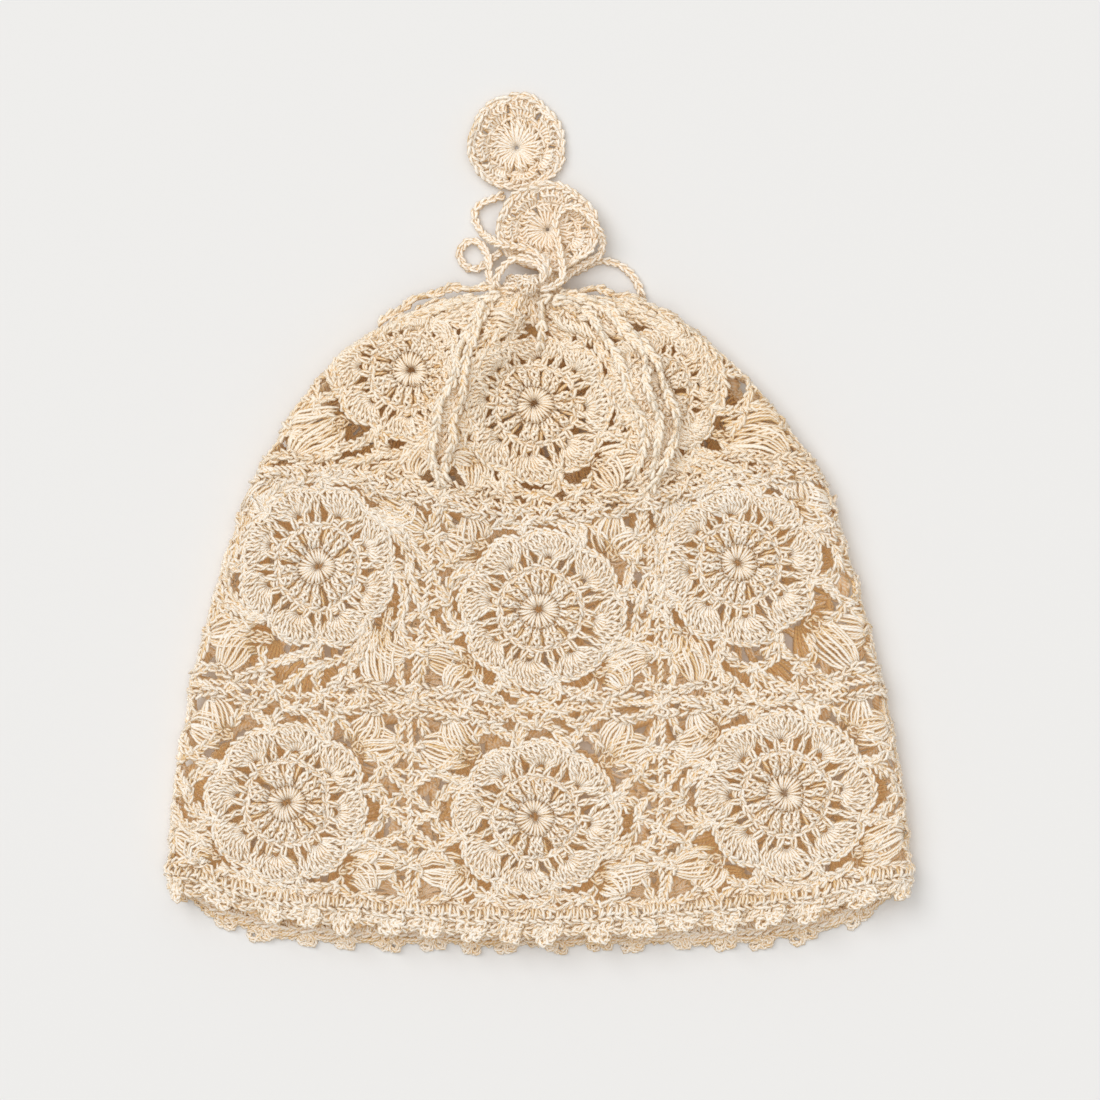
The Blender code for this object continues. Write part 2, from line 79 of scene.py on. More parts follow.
def makeStudio():
    scene = bpy.context.scene
    scene.view_settings.view_transform = "Standard"
    scene.view_settings.look = "None"
    camera = addObject("camera", bpy.data.cameras.new("camera"))
    x, y, z = studio["lookAt"]
    camera.location = (x, y, z + studio["distance"])
    camera.data.sensor_width = studio["sensor"]
    camera.data.lens = studio["sensor"] * studio["distance"] / studio["viewWidth"]
    camera.data.clip_start = 0.05
    camera.data.clip_end = 20.0
    scene.camera = camera

    world = bpy.data.worlds.new("softRoom")
    world.use_nodes = True
    sky = world.node_tree.nodes["Background"]
    fill(sky, {"Color": (*studio["skyColour"], 1.0), "Strength": studio["skyStrength"]})
    scene.world = world

    for name, (fromSide, angle, strength) in studio["lights"].items():
        light = addObject(name, bpy.data.lights.new(name, "SUN"))
        light.data.angle = math.radians(angle)
        light.data.energy = strength
        light.data.color = studio["lightColour"]
        light.location = fromSide
        flat = math.hypot(fromSide[0], fromSide[1])
        spin = math.atan2(-fromSide[1], -fromSide[0]) - math.pi / 2
        light.rotation_euler = (math.atan2(flat, fromSide[2]), 0, spin)


def makeFloor():
    half = studio["floorHalf"]
    spots = [(-half, -half), (half, -half), (half, half), (-half, half)]
    mesh = bpy.data.meshes.new("floor")
    mesh.from_pydata([(x, y, -studio["floorDrop"]) for x, y in spots], [], [(0, 1, 2, 3)])
    material = bpy.data.materials.new("palePaper")
    material.use_nodes = True
    nodes = material.node_tree.nodes
    grain = fill(nodes.new("ShaderNodeTexNoise"), {"Scale": 3.0})
    tint = nodes.new("ShaderNodeMix")
    tint.data_type = "RGBA"
    light = studio["floorColour"]
    dark = [channel * studio["floorPatches"] for channel in light]
    colour = fill(tint, {"Factor": grain["Fac"], "A": (*light, 1.0), "B": (*dark, 1.0)})
    fill(nodes["Principled BSDF"], {"Base Color": colour["Result"], "Roughness": 0.75})
    mesh.materials.append(material)
    addObject("floor", mesh)


makeStudio()
makeFloor()
print("beanie: camera, light and floor")

# How the hat lies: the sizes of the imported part, in metres
hat = {
    "hemWidth": 0.270,  # across the opening
    "bodyHeight": 0.240,
    "wall": 0.0026,
    "hollow": 0.0090,  # between the two layers
    "neckWidth": 0.0144,
    "neckDepth": 0.0100,
    "neckLift": 0.0038,
    "neckX": -0.0021,
    "waist": 0.0014,
    "frillHeight": 0.0060,
    "frillFlare": 0.0016,
    "flute": 0.0010,  # height of the pleats at the neck
    "ridge": 0.0071,  # height of the crown's two large folds
    "cord": 0.0027,
    "across": 3,  # motifs in a layer
    "rows": 3,
    "middleUp": 0.505,  # of the height, below the frame's origin
    "backDropMiddle": 0.030,  # of the height, how much lower the back layer's hem lies
    "backDropSide": 0.049,
    "dropSetsIn": 0.34,  # motifs from the side folds
    "ridgeWidth": 0.20,  # in motifs
    "dipWidth": 0.22,
    "liftFrom": 2.5,  # levels, in motifs up from the hem
    "pleatsFrom": 2.6,
    "seam": 0.0005,  # between two motifs at the neck
}
topRow = hat["rows"] - 1
thickness = hat["hollow"] + 2 * hat["wall"]
foldAt = hat["across"] / 2  # motifs from the middle of a layer to its side folds
around = 2 * hat["across"]
pitch = (2 * (hat["hemWidth"] - thickness) + math.pi * thickness) / around  # width of one motif
foldTurn = thickness * math.pi / 4 / pitch

# One row per level, in motifs up from the hem: places across as shares of half the hem, places
# up as shares of the height, then the shares of thickness, neck, ridges and dip
lieColumns = (
    "level", "foldL", "motifL", "jointL", "middle", "jointR", "motifR", "foldR",
    "upMiddle", "upJoint", "upMotif", "upFold", "thick", "neck", "ridge", "dip",
)
lie = np.array([
    (0.00, -0.988, -0.668, -0.342, -0.013, 0.328, 0.662, 0.996,
     0.064, 0.074, 0.092, 0.131, 0.95, 0.00, 0.00, 0.00),
    (0.50, -0.970, -0.665, -0.339, -0.013, 0.326, 0.662, 0.972,
     0.204, 0.216, 0.235, 0.256, 1.00, 0.00, 0.00, 0.00),
    (1.00, -0.922, -0.630, -0.334, -0.008, 0.328, 0.620, 0.919,
     0.363, 0.379, 0.390, 0.409, 1.00, 0.00, 0.00, 0.00),
    (1.50, -0.837, -0.580, -0.294, -0.003, 0.305, 0.527, 0.834,
     0.510, 0.542, 0.580, 0.589, 1.00, 0.00, 0.05, 0.00),
    (2.00, -0.742, -0.498, -0.254, 0.005, 0.281, 0.495, 0.747,
     0.665, 0.683, 0.720, 0.725, 1.10, 0.00, 0.30, 0.10),
    (2.50, -0.538, -0.339, -0.207, -0.003, 0.278, 0.366, 0.509,
     0.820, 0.836, 0.860, 0.890, 1.25, 0.30, 1.00, 0.30),
    (2.75, -0.286, -0.193, -0.135, -0.010, 0.164, 0.230, 0.310,
     0.905, 0.915, 0.940, 0.966, 1.20, 0.70, 0.55, 0.90),
    (3.00, -1.000, -0.866, -0.500, 0.000, 0.500, 0.866, 1.000,
     0.985, 0.985, 0.985, 0.985, 1.00, 1.00, 0.00, 0.00),
])
probe = 1e-4  # a short way on the hat, in motifs, over which slopes are measured


def softStep(at):
    at = np.clip(at, 0.0, 1.0)
    return at * at * (3 - 2 * at)


def curveWeights(knots, at):
    # shares of each knot's value in a smooth curve through them, one row per place
    knots = np.asarray(knots, float)
    at = np.clip(np.atleast_1d(np.asarray(at, float)), knots[0], knots[-1])
    last = len(knots) - 1
    low = np.clip(np.searchsorted(knots, at, "right") - 1, 0, last - 1)
    span = knots[low + 1] - knots[low]
    t = (at - knots[low]) / span
    rows = np.arange(len(at))
    shares = np.zeros((len(at), len(knots)))
    shares[rows, low] += (1 + 2 * t) * (1 - t) ** 2
    shares[rows, low + 1] += t * t * (3 - 2 * t)
    for knot, slopeShare in ((low, t * (1 - t) ** 2), (low + 1, t * t * (t - 1))):
        before = np.maximum(knot - 1, 0)
        after = np.minimum(knot + 1, last)
        pull = slopeShare * span / (knots[after] - knots[before])
        shares[rows, after] += pull
        shares[rows, before] -= pull
    return shares


def lieValues(level):
    table = lie.copy()
    table[:, 1:8] *= hat["hemWidth"] / 2
    table[-1, 1:8] = hat["neckX"] + lie[-1, 1:8] * hat["neckWidth"] / 2
    table[:, 8:12] *= hat["bodyHeight"]
    table[:, 12] *= thickness / 2
    table[-1, 12] = hat["neckDepth"] / 2
    values = curveWeights(lie[:, 0], level) @ table
    return dict(zip(lieColumns, values.T))


def outerSide(turn, level):
    # points of the outer side of the lace, for places round the hat and levels, in motifs
    turn = (turn + foldAt) % around - foldAt
    at = lieValues(level)
    back = turn > foldAt
    across = np.where(back, 2 * foldAt - turn, turn)
    side = np.where(back, -1.0, 1.0)
    span = np.abs(across)
    flatTo = foldAt - foldTurn
    bend = np.clip((span - flatTo) / foldTurn, 0.0, 1.0) * math.pi / 2
    half = at["thick"]
    neck = np.clip(at["neck"], 0.0, 1.0)
    neckTurn = across * math.pi / (2 * foldAt)

    knots = (-flatTo, -1.0, -0.5, 0.0, 0.5, 1.0, flatTo)
    places = np.stack([
        at["foldL"] + half, at["motifL"], at["jointL"], at["middle"],
        at["jointR"], at["motifR"], at["foldR"] - half,
    ], axis=1)
    flatX = (curveWeights(knots, across) * places).sum(axis=1)
    flatX += np.sign(across) * half * np.sin(bend)
    neckX = (at["foldL"] + at["foldR"]) / 2
    neckX += (at["foldR"] - at["foldL"]) / 2 * np.sin(neckTurn)
    x = (1 - neck) * flatX + neck * neckX

    names = ("upJoint", "upMiddle", "upJoint", "upMotif", "upFold", "upMotif")
    ups = np.stack([at[name] for name in names], axis=1)
    columns = (-0.5, 0.0, 0.5, 1.0, foldAt, 2 * foldAt - 1)
    y = (curveWeights(columns, span) * ups).sum(axis=1)
    fade = np.clip(1 - level / hat["rows"], 0.0, 1.0)
    dropSpread = hat["backDropSide"] - hat["backDropMiddle"]
    drop = hat["backDropMiddle"] + dropSpread * np.minimum(span, 1.0)
    drop = drop * hat["bodyHeight"] * fade * softStep((foldAt - span) / hat["dropSetsIn"])
    y -= np.where(back, drop, 0.0)
    y += (np.minimum(level, 0.0) + np.maximum(level - hat["rows"], 0.0)) * pitch
    y -= hat["middleUp"] * hat["bodyHeight"]

    profile = (1 - neck) * np.cos(bend) + neck * np.cos(neckTurn)
    lift = hat["neckLift"] * softStep((level - hat["liftFrom"]) / (hat["rows"] - hat["liftFrom"]))
    ridge = hat["ridge"] * at["ridge"] * np.exp(-(((span - 0.5) / hat["ridgeWidth"]) ** 2))
    dip = hat["ridge"] * at["dip"] * np.exp(-((across / hat["dipWidth"]) ** 2))
    z = half + lift + side * half * profile + np.where(back, 0.0, ridge - dip)
    return np.stack([x, y, z], axis=1)


# Unevenness of hand work: slow waves over the whole lace, so that neighbours still meet
uneven = {
    "waves": 14,
    "around": (6, 34),  # how often a wave comes round the hat
    "upward": (1.5, 6.0),  # and how often in a motif's height
    "shift": 0.0042,  # sideways, in motifs
    "lift": 0.00022,  # in and out, in metres
    "seed": 11,
}
waveDice = np.random.default_rng(uneven["seed"])
waveTurns = waveDice.integers(*uneven["around"], uneven["waves"])
waveTurns = waveTurns * waveDice.choice([-1, 1], uneven["waves"])
waveLevels = waveDice.uniform(*uneven["upward"], uneven["waves"])
wavePhases = waveDice.uniform(0, math.tau, (3, uneven["waves"]))


def handWork(turn, level):
    base = (turn[:, None] * waveTurns / around + level[:, None] * waveLevels) * math.tau
    waves = np.sin(base[None] + wavePhases[:, None]).sum(axis=2) * math.sqrt(2 / uneven["waves"])
    return waves[0] * uneven["shift"], waves[1] * uneven["shift"], waves[2] * uneven["lift"]


def onLace(places, height):
    # places (..., 2) round and up the hat, height above the inner side; gives points and outward
    shape = places.shape[:-1]
    flat = places.reshape(-1, 2)
    height = np.broadcast_to(height, shape).reshape(-1)
    shiftTurn, shiftLevel, lift = handWork(flat[:, 0], flat[:, 1])
    turn = flat[:, 0] + shiftTurn
    level = flat[:, 1] + shiftLevel * np.clip(4 * (hat["rows"] - flat[:, 1]), 0, 1)
    along = outerSide(turn + probe, level) - outerSide(turn - probe, level)
    up = outerSide(turn, level + probe) - outerSide(turn, level - probe)
    outward = np.cross(along, up)
    outward /= np.linalg.norm(outward, axis=1, keepdims=True)
    pleat = -np.cos(math.tau * turn) * hat["flute"]
    pleat *= softStep((level - hat["pleatsFrom"]) / (hat["rows"] - hat["pleatsFrom"]))
    rise = pleat + height + lift - hat["wall"]
    points = outerSide(turn, level) + outward * rise[:, None]
    return points.reshape(*shape, 3), outward.reshape(*shape, 3)


# Yarn: strands are collected by their number of points, then wound up into one mesh
yarn = {
    "radius": 0.00057,  # of one strand
    "endRadius": 0.7,  # of a strand's two ends, in radii
    # painted shade and light: the deep colour is the yarn's darker tone and also golden shade painted
    # into flanks and gaps; the top colour is the lit yarn
    "deep": (0.71, 0.47, 0.20),
    "top": (0.965, 0.922, 0.85),
    "topAt": 0.75,  # the tone that shows the top colour
    "toneSpread": 0.07,  # from strand to strand
    "flankTone": -0.48,  # painted shade, where a strand turns into the gap beside it
    "faceTone": 0.72,  # painted light, added on the side that faces out
    "insideTone": 0.66,  # painted light, added on the side that faces into the hat
    "fibres": (1500.0, 2.0),  # scale and detail
    "patches": (55.0, 3.0),
    # share in the tone, and the part taken off again so that the mean stays
    "fibreTone": (0.35, -0.175),
    "patchTone": (0.30, -0.15),
    "grooveTone": (0.42, -0.26),
    "plies": 3,
    "plyTurn": 4.0,  # radians of ply twist for each millimetre
    "relief": 0.00022,
    "roughness": 0.82,
    "sheen": 0.25,
    "sheenTint": (1.0, 0.93, 0.8),
    "glow": (1.0, 0.62, 0.30),  # painted light: the cotton glows, standing in for light that comes through it
}
triangles = []


def unit(vectors):
    return vectors / np.maximum(np.linalg.norm(vectors, axis=-1, keepdims=True), 1e-20)


def newSkein(seed, size=1.0, lace=None):
    # lace(places, height) gives points and the way out of the lace
    return {"paths": {}, "dice": np.random.default_rng(seed), "size": size, "lace": lace}


def addStrands(skein, paths, outward, radius, tone):
    # paths (strands, points, 3) and the way out of the lace there; none goes under the floor
    shape = paths.shape[:2]
    radius = np.broadcast_to(radius, shape) * skein["size"]
    paths = paths.copy()
    paths[..., 2] = np.maximum(paths[..., 2], radius)
    outward = np.broadcast_to(outward, paths.shape)
    spread = skein["dice"].normal(0, yarn["toneSpread"], (shape[0], 1))
    shade = np.broadcast_to(tone, shape) + spread
    skein["paths"].setdefault(shape[1], []).append((paths, outward, radius, shade))


def sweepStrands(paths, radius, angles):
    tangents = unit(np.gradient(paths, axis=1))
    helper = np.where(np.abs(tangents[:, 0, 2:]) < 0.8, (0.0, 0.0, 1.0), (1.0, 0.0, 0.0))
    normals = [unit(np.cross(tangents[:, 0], helper))]
    for way in tangents.swapaxes(0, 1)[1:]:
        last = normals[-1]
        normals.append(unit(last - (last * way).sum(axis=1, keepdims=True) * way))
    normals = np.stack(normals, axis=1)
    sideways = np.cross(tangents, normals)
    cos, sin = np.cos(angles)[:, None], np.sin(angles)[:, None]
    ring = normals[:, :, None] * cos + sideways[:, :, None] * sin
    return paths[:, :, None] + ring * radius[:, :, None, None], ring


def makeMesh(name, verts, loops, starts):
    mesh = bpy.data.meshes.new(name)
    mesh.vertices.add(len(verts))
    mesh.vertices.foreach_set("co", verts.astype(np.float32).ravel())
    mesh.loops.add(len(loops))
    mesh.loops.foreach_set("vertex_index", loops.astype(np.int32))
    mesh.polygons.add(len(starts))
    mesh.polygons.foreach_set("loop_start", starts.astype(np.int32))
    mesh.update(calc_edges=True)
    mesh.shade_smooth()
    return mesh


def windUp(name, skein, sides, material, node):
    # one mesh from all the strands of a skein, in place of a solid of the part
    verts, tones, plies, loops, starts = [], [], [], [], []
    vertCount = loopCount = 0
    angles = math.tau * np.arange(sides) / sides
    for steps, groups in sorted(skein["paths"].items()):
        paths, outward, radius, tone = (np.concatenate(column) for column in zip(*groups))
        count = len(paths)
        radius[:, [0, -1]] *= yarn["endRadius"]
        tube, ring = sweepStrands(paths, radius, angles)
        verts.append(tube.reshape(-1, 3))
        # painted light and shade: each strand is lighter on the sides that face out or into the hat,
        # and darker on its flanks
        facing = (ring * outward[:, :, None]).sum(axis=-1)
        facingLight = np.where(facing > 0, yarn["faceTone"] * facing, -yarn["insideTone"] * facing)
        tones.append((tone[:, :, None] + yarn["flankTone"] + facingLight).ravel())
        lengths = np.linalg.norm(np.diff(paths, axis=1), axis=2)
        along = np.pad(np.cumsum(lengths, axis=1), ((0, 0), (1, 0)))
        along += skein["dice"].uniform(0, 0.01, (count, 1))
        ply = np.broadcast_arrays(np.cos(angles), np.sin(angles), along[:, :, None] * 1000)
        plies.append(np.stack(ply, axis=-1).reshape(-1, 3))

        index = vertCount + np.arange(count * steps * sides).reshape(count, steps, sides)
        vertCount += index.size
        here, ahead = index[:, :-1], index[:, 1:]
        quads = np.stack([here, np.roll(here, -1, axis=2), np.roll(ahead, -1, axis=2), ahead], axis=-1)
        for face, size in ((quads, 4), (index[:, 0, ::-1], sides), (index[:, -1], sides)):
            starts.append(np.arange(loopCount, loopCount + face.size, size))
            loops.append(face.ravel())
            loopCount += face.size

    mesh = makeMesh(name, *(np.concatenate(rows) for rows in (verts, loops, starts)))
    toneLayer = mesh.attributes.new("tone", "FLOAT", "POINT")
    toneLayer.data.foreach_set("value", np.concatenate(tones).astype(np.float32))
    plyLayer = mesh.attributes.new("ply", "FLOAT_VECTOR", "POINT")
    plyLayer.data.foreach_set("vector", np.concatenate(plies).astype(np.float32).ravel())
    mesh.materials.append(material)
    triangles.append(loopCount - 2 * len(mesh.polygons))
    piece = addObject(name, mesh)
    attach(piece, "root")
    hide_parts(node)
    return piece


def cottonYarn(name, warmth, glow):
    material = bpy.data.materials.new(name)
    material.use_nodes = True
    nodes = material.node_tree.nodes

    def attribute(label):
        node = nodes.new("ShaderNodeAttribute")
        node.attribute_name = label
        return node.outputs

    def noise(scale, detail):
        settings = {"Scale": scale, "Detail": detail, "Vector": place}
        return fill(nodes.new("ShaderNodeTexNoise"), settings)["Fac"]

    def reckon(kind, *values):
        node = nodes.new("ShaderNodeMath")
        node.operation = kind
        return fill(node, dict(enumerate(values)))[0]

    place = nodes.new("ShaderNodeTexCoord").outputs["Object"]
    fibre = noise(*yarn["fibres"])
    patch = noise(*yarn["patches"])
    parts = fill(nodes.new("ShaderNodeSeparateXYZ"), {"Vector": attribute("ply")["Vector"]})
    turns = reckon("MULTIPLY", reckon("ARCTAN2", parts["Y"], parts["X"]), yarn["plies"])
    run = reckon("MULTIPLY", parts["Z"], yarn["plyTurn"])
    groove = reckon("MULTIPLY_ADD", reckon("COSINE", reckon("ADD", turns, run)), 0.5, 0.5)

    tone = attribute("tone")["Fac"]
    for layer, key in ((fibre, "fibreTone"), (patch, "patchTone"), (groove, "grooveTone")):
        tone = reckon("ADD", tone, reckon("MULTIPLY_ADD", layer, *yarn[key]))
    # painted shade and light: the tone, with its painted facing light and shade and its random parts,
    # picks between the deep shade colour and the lit top colour
    ramp = nodes.new("ShaderNodeValToRGB")
    for element, at, key in zip(ramp.color_ramp.elements, (0.0, yarn["topAt"]), ("deep", "top")):
        element.position = at
        element.color = (*[channel * share for channel, share in zip(yarn[key], warmth)], 1.0)
    height = reckon("ADD", reckon("MULTIPLY_ADD", fibre, 0.35, 0.0), groove)
    bump = nodes.new("ShaderNodeBump")
    fill(nodes["Principled BSDF"], {
        "Base Color": fill(ramp, {"Fac": tone})["Color"],
        "Normal": fill(bump, {"Strength": 0.6, "Distance": yarn["relief"], "Height": height})["Normal"],
        "Roughness": yarn["roughness"],
        "Sheen Weight": yarn["sheen"],
        "Sheen Roughness": 0.5,
        "Sheen Tint": (*yarn["sheenTint"], 1.0),
        "Specular IOR Level": 0.3,
        "Emission Color": (*yarn["glow"], 1.0),
        "Emission Strength": glow,
    })
    return material


# Cotton for each part of the hat, as lit and shaded copies of one yarn: how its colours differ from the
# plain one's, a warmer tint that paints golden shade, and its painted glow, strongest on the back layer
# that lies in the front's shade
laceCotton = cottonYarn("laceCotton", (1.0, 1.0, 1.0), 0.045)
crownCotton = cottonYarn("crownCotton", (1.01, 0.985, 0.94), 0.05)
shadedCotton = cottonYarn("shadedCotton", (1.0, 1.0, 1.0), 0.17)
deepCotton = cottonYarn("deepCotton", (1.03, 0.95, 0.84), 0.07)
cordCotton = cottonYarn("cordCotton", (1.02, 1.02, 1.02), 0.07)

# Stitches
chainStitch = {
    "pitch": 0.0031,  # one V
    "width": 0.0031,
    "open": 1.42,  # how much wider a chain of the net lies than one of a cord
    "core": 1.5,  # thickness of the strand under the V's, in strands
    "coreDrop": -0.55,  # how it lies under the V's, in strand widths
    "wideDrop": -0.20,  # and in a chain that lies wide
    "reach": (-0.15, 0.22, 0.80, 1.12),  # places along a V's leg, in pitches
    "aside": (0.03, 0.16, 0.36, 0.21),  # in widths
    "rise": (-0.42, 0.36, 0.36, -0.50),  # in strand widths
    "riseTone": 0.35,  # painted light: how much lighter a leg is where it rises
    # painted shade: the strand under the V's is made darker
    "coreTone": -0.2,
    "roll": 0.50,  # how far a chain turns to and fro about its own line, in radians
    "rollLength": 0.019,
    "spread": 0.07,  # unevenness of pitches and rises
    "wobble": 0.055,  # of widths
}
pairStitch = {
    "flat": 0.7,  # rise of the strands that turn round each other, of their way aside
    "startSpread": 0.25,
    # painted light and shade: lighter where a strand turns out, darker where it turns under
    "turnTone": 0.25,
}
wrapStitch = {
    "reach": (-0.20, -0.07, 0.07, 0.20),  # along the stitch under it, in shares of its length
    "aside": (-1.0, -0.45, 0.45, 1.0),
    "rise": (-0.2, 0.85, 0.85, -0.2),
    "asideSize": 1.35,  # both in gaps
    "riseSize": 1.4,
    "size": 0.9,
    "tone": 0.6,
    # painted shade: darker at the two ends, where the wrap dives under
    "bendTone": (-0.2, 0.1, 0.1, -0.2),
}


def marksAlong(line):
    return np.concatenate([[0], np.cumsum(np.linalg.norm(np.diff(line, axis=0), axis=1))])


def lengthOf(line):
    return np.linalg.norm(np.diff(line, axis=0), axis=1).sum()


def valuesAt(at, marks, values):
    return np.stack([np.interp(at, marks, column) for column in values.T], axis=-1)


def roundTurns(count):
    return np.linspace(0, math.tau, count, endpoint=False)


def spreadTurns(count, dice, spread):
    # directions round a centre, each off its even place by a random share of a step
    return math.tau * (np.arange(count) + dice.normal(0, spread, count)) / count


def polar(radius, angle):
    return np.stack([radius * np.cos(angle), radius * np.sin(angle)], axis=-1)


def circle(radius, count):
    return polar(radius, roundTurns(count))


def bowed(starts, ends, bow, steps):
    # curves between points of the plane, bowed to one side by a share of their length
    t = np.linspace(0, 1, steps)[:, None]
    way = ends - starts
    aside = np.stack([-way[:, 1], way[:, 0]], axis=1) * np.reshape(bow, (-1, 1))
    straight = starts[:, None] + way[:, None] * t
    return straight + aside[:, None] * (4 * t * (1 - t))


def chainAlong(
    skein, line, outward, size=1.0, closed=False, tone=0.5, under=True, flip=False, wide=1.0,
    coreSize=1.0, roll=chainStitch["roll"],
):
    # a row of V-shaped chain stitches over a line of points
    dice = skein["dice"]
    if closed:
        line = np.concatenate([line, line[:1]])
        outward = np.concatenate([outward, outward[:1]])
    length = lengthOf(line)
    width = chainStitch["width"] * size * wide
    strand = yarn["radius"] * 2 * size
    upside = -1 if flip else 1
    count = max(1, round(length / (chainStitch["pitch"] * size)))
    step = length / count
    starts = np.arange(count) * step
    starts = starts + dice.normal(0, chainStitch["spread"], count) * step
    at = starts[:, None] + np.array(chainStitch["reach"]) * step
    tangents = unit(np.gradient(line, axis=0))
    if closed:
        at = at % length
        tangents[0] = tangents[-1] = unit(line[1] - line[-2])
    marks = marksAlong(line)
    inside = np.clip(at, 0, marks[-1])
    points, ways, outs = (valuesAt(inside, marks, values) for values in (line, tangents, outward))
    ways = unit(ways)
    points = points + ways * (at - inside)[..., None]  # straight on past the line's ends
    outs = unit(outs - ways * (outs * ways).sum(axis=-1, keepdims=True))
    side = np.cross(outs, ways)
    swing = math.tau * at / chainStitch["rollLength"] + dice.uniform(0, math.tau)
    swing = (roll * np.sin(swing))[..., None]
    cos, sin = np.cos(swing), np.sin(swing)
    outs, side = outs * cos + side * sin, side * cos - outs * sin
    bend = np.array(chainStitch["rise"])
    for hand in (-1, 1):
        wobble = dice.normal(0, chainStitch["wobble"], (count, 4)) * width
        aside = hand * (np.array(chainStitch["aside"]) * width + wobble)
        height = bend * strand * upside + dice.normal(0, chainStitch["spread"], (count, 4)) * strand
        legs = points + side * aside[..., None] + outs * height[..., None]
        addStrands(skein, legs, outs, yarn["radius"] * size, tone + bend * chainStitch["riseTone"])
    if under:
        coreAt = np.linspace(0, length, max(3, count + 1))
        core, coreOut = (valuesAt(coreAt, marks, values) for values in (line, outward))
        coreOut = unit(coreOut)
        drop = chainStitch["coreDrop" if wide == 1.0 else "wideDrop"] * strand * upside
        thick = yarn["radius"] * size * chainStitch["core"] * coreSize
        centre = (core + coreOut * drop)[None]
        addStrands(skein, centre, coreOut[None], thick, tone + chainStitch["coreTone"])


def chainOn(skein, places, height, *size, **more):
    chainAlong(skein, *skein["lace"](places, height), *size, **more)


def strandsOn(skein, places, height, size, tone):
    addStrands(skein, *skein["lace"](places, height), yarn["radius"] * size, tone)


def pairsOn(
    skein, places, height, gap, twist, size=1.0, tone=0.5, strands=2, flat=pairStitch["flat"], wraps=(),
):
    # stitches of strands that turn round each other, on places (stitches, points, 2) of the lace;
    # the gap between them is in millimetres, and wraps lie over them
    centres, outward = skein["lace"](places, height)
    gap = np.array(gap) * 0.001
    ways = unit(np.gradient(centres, axis=1))
    side = unit(np.cross(outward, ways))
    count, steps = centres.shape[:2]
    start = skein["dice"].normal(0, pairStitch["startSpread"], (count, 1))
    turn = start + twist * math.pi * np.linspace(0, 1, steps)
    for offset in np.arange(strands) * math.tau / strands:
        sway = gap * np.cos(turn + offset)
        lift = gap * flat * np.sin(turn + offset)
        paths = centres + side * sway[..., None] + outward * lift[..., None]
        shade = tone + pairStitch["turnTone"] * np.sin(turn + offset)
        addStrands(skein, paths, outward, yarn["radius"] * size, shade)
    for share, wrapGap in wraps:
        wrapAcross(skein, centres, outward, side, share, wrapGap * 0.001)


def wrapAcross(skein, centres, outward, side, share, gap):
    # the short slanting strand over a tall stitch
    steps = centres.shape[1]
    spot = np.clip(np.array(wrapStitch["reach"]) + share, 0, 1) * (steps - 1)
    low = np.clip(np.floor(spot).astype(int), 0, steps - 2)
    blend = (spot - low)[:, None]
    middle = centres[:, low] * (1 - blend) + centres[:, low + 1] * blend
    aside = np.array(wrapStitch["aside"]) * gap * wrapStitch["asideSize"]
    rise = np.array(wrapStitch["rise"]) * gap * wrapStitch["riseSize"]
    paths = middle + side[:, low] * aside[:, None] + outward[:, low] * rise[:, None]
    tone = wrapStitch["tone"] + np.array(wrapStitch["bendTone"])
    addStrands(skein, paths, outward[:, low], yarn["radius"] * wrapStitch["size"], tone)


# Cords: their ways from end to end, in millimetres
cordRoutes = {
    "bowLoopFront": (
        (0.9, 119.1, 20.0), (2.0, 122.0, 19.5), (0.4, 125.0, 18.3), (-3.2, 127.3, 17.0),
        (-7.5, 127.7, 16.0), (-11.4, 125.7, 15.0), (-14.1, 122.3, 13.5), (-15.2, 119.1, 12.0),
        (-14.8, 117.0, 11.0),
    ),
    "bowLoopRight": (
        (1.1, 116.2, 19.5), (5.4, 117.7, 16.8), (8.2, 119.8, 16.0), (8.8, 124.5, 14.0),
        (7.7, 130.9, 11.0), (6.6, 137.3, 8.9), (6.3, 142.0, 9.0), (7.9, 145.0, 9.4),
        (11.3, 146.6, 10.2), (15.0, 145.6, 11.0), (18.6, 142.4, 11.6), (21.5, 138.4, 12.2),
        (23.2, 134.1, 7.6), (22.2, 129.8, 5.2), (17.5, 126.8, 5.0), (13.2, 124.3, 5.3),
        (10.4, 121.6, 9.0), (8.9, 120.2, 12.0),
    ),
    "bowLoopBack": (
        (3.6, 123.4, 5.0), (7.9, 122.9, 3.0), (11.6, 123.0, 2.2), (15.7, 124.8, 1.7),
        (20.0, 127.2, 1.5), (24.3, 127.8, 1.5), (29.2, 126.3, 1.5), (33.2, 123.4, 1.5),
        (36.1, 118.8, 1.5), (37.5, 114.8, 1.5),
    ),
    "tailLower": (
        (-13.2, 118.0, 7.2), (-16.6, 118.8, 7.2), (-17.7, 122.0, 6.8), (-17.5, 125.6, 6.0),
        (-17.9, 129.1, 5.0), (-19.7, 132.5, 3.2), (-22.9, 135.0, 1.6), (-26.5, 133.8, 1.5),
        (-28.3, 130.2, 1.5), (-26.8, 126.4, 1.5), (-23.2, 124.6, 1.5), (-19.7, 126.1, 1.6),
        (-17.1, 128.1, 2.4), (-15.1, 129.4, 4.6), (-13.4, 130.4, 6.8),
    ),
    "tailUpper": (
        (3.9, 121.4, 15.5), (3.6, 124.1, 15.3), (1.8, 127.3, 13.6), (-1.1, 130.0, 12.0),
        (-4.6, 131.4, 11.2), (-8.6, 132.3, 11.2), (-11.8, 132.5, 12.0), (-14.1, 133.1, 12.2),
        (-16.8, 135.0, 8.5), (-19.7, 137.3, 2.2), (-22.2, 140.9, 1.5), (-22.9, 144.9, 1.5),
        (-20.7, 148.1, 1.5), (-17.2, 149.7, 1.5), (-12.7, 151.3, 1.5),
    ),
}
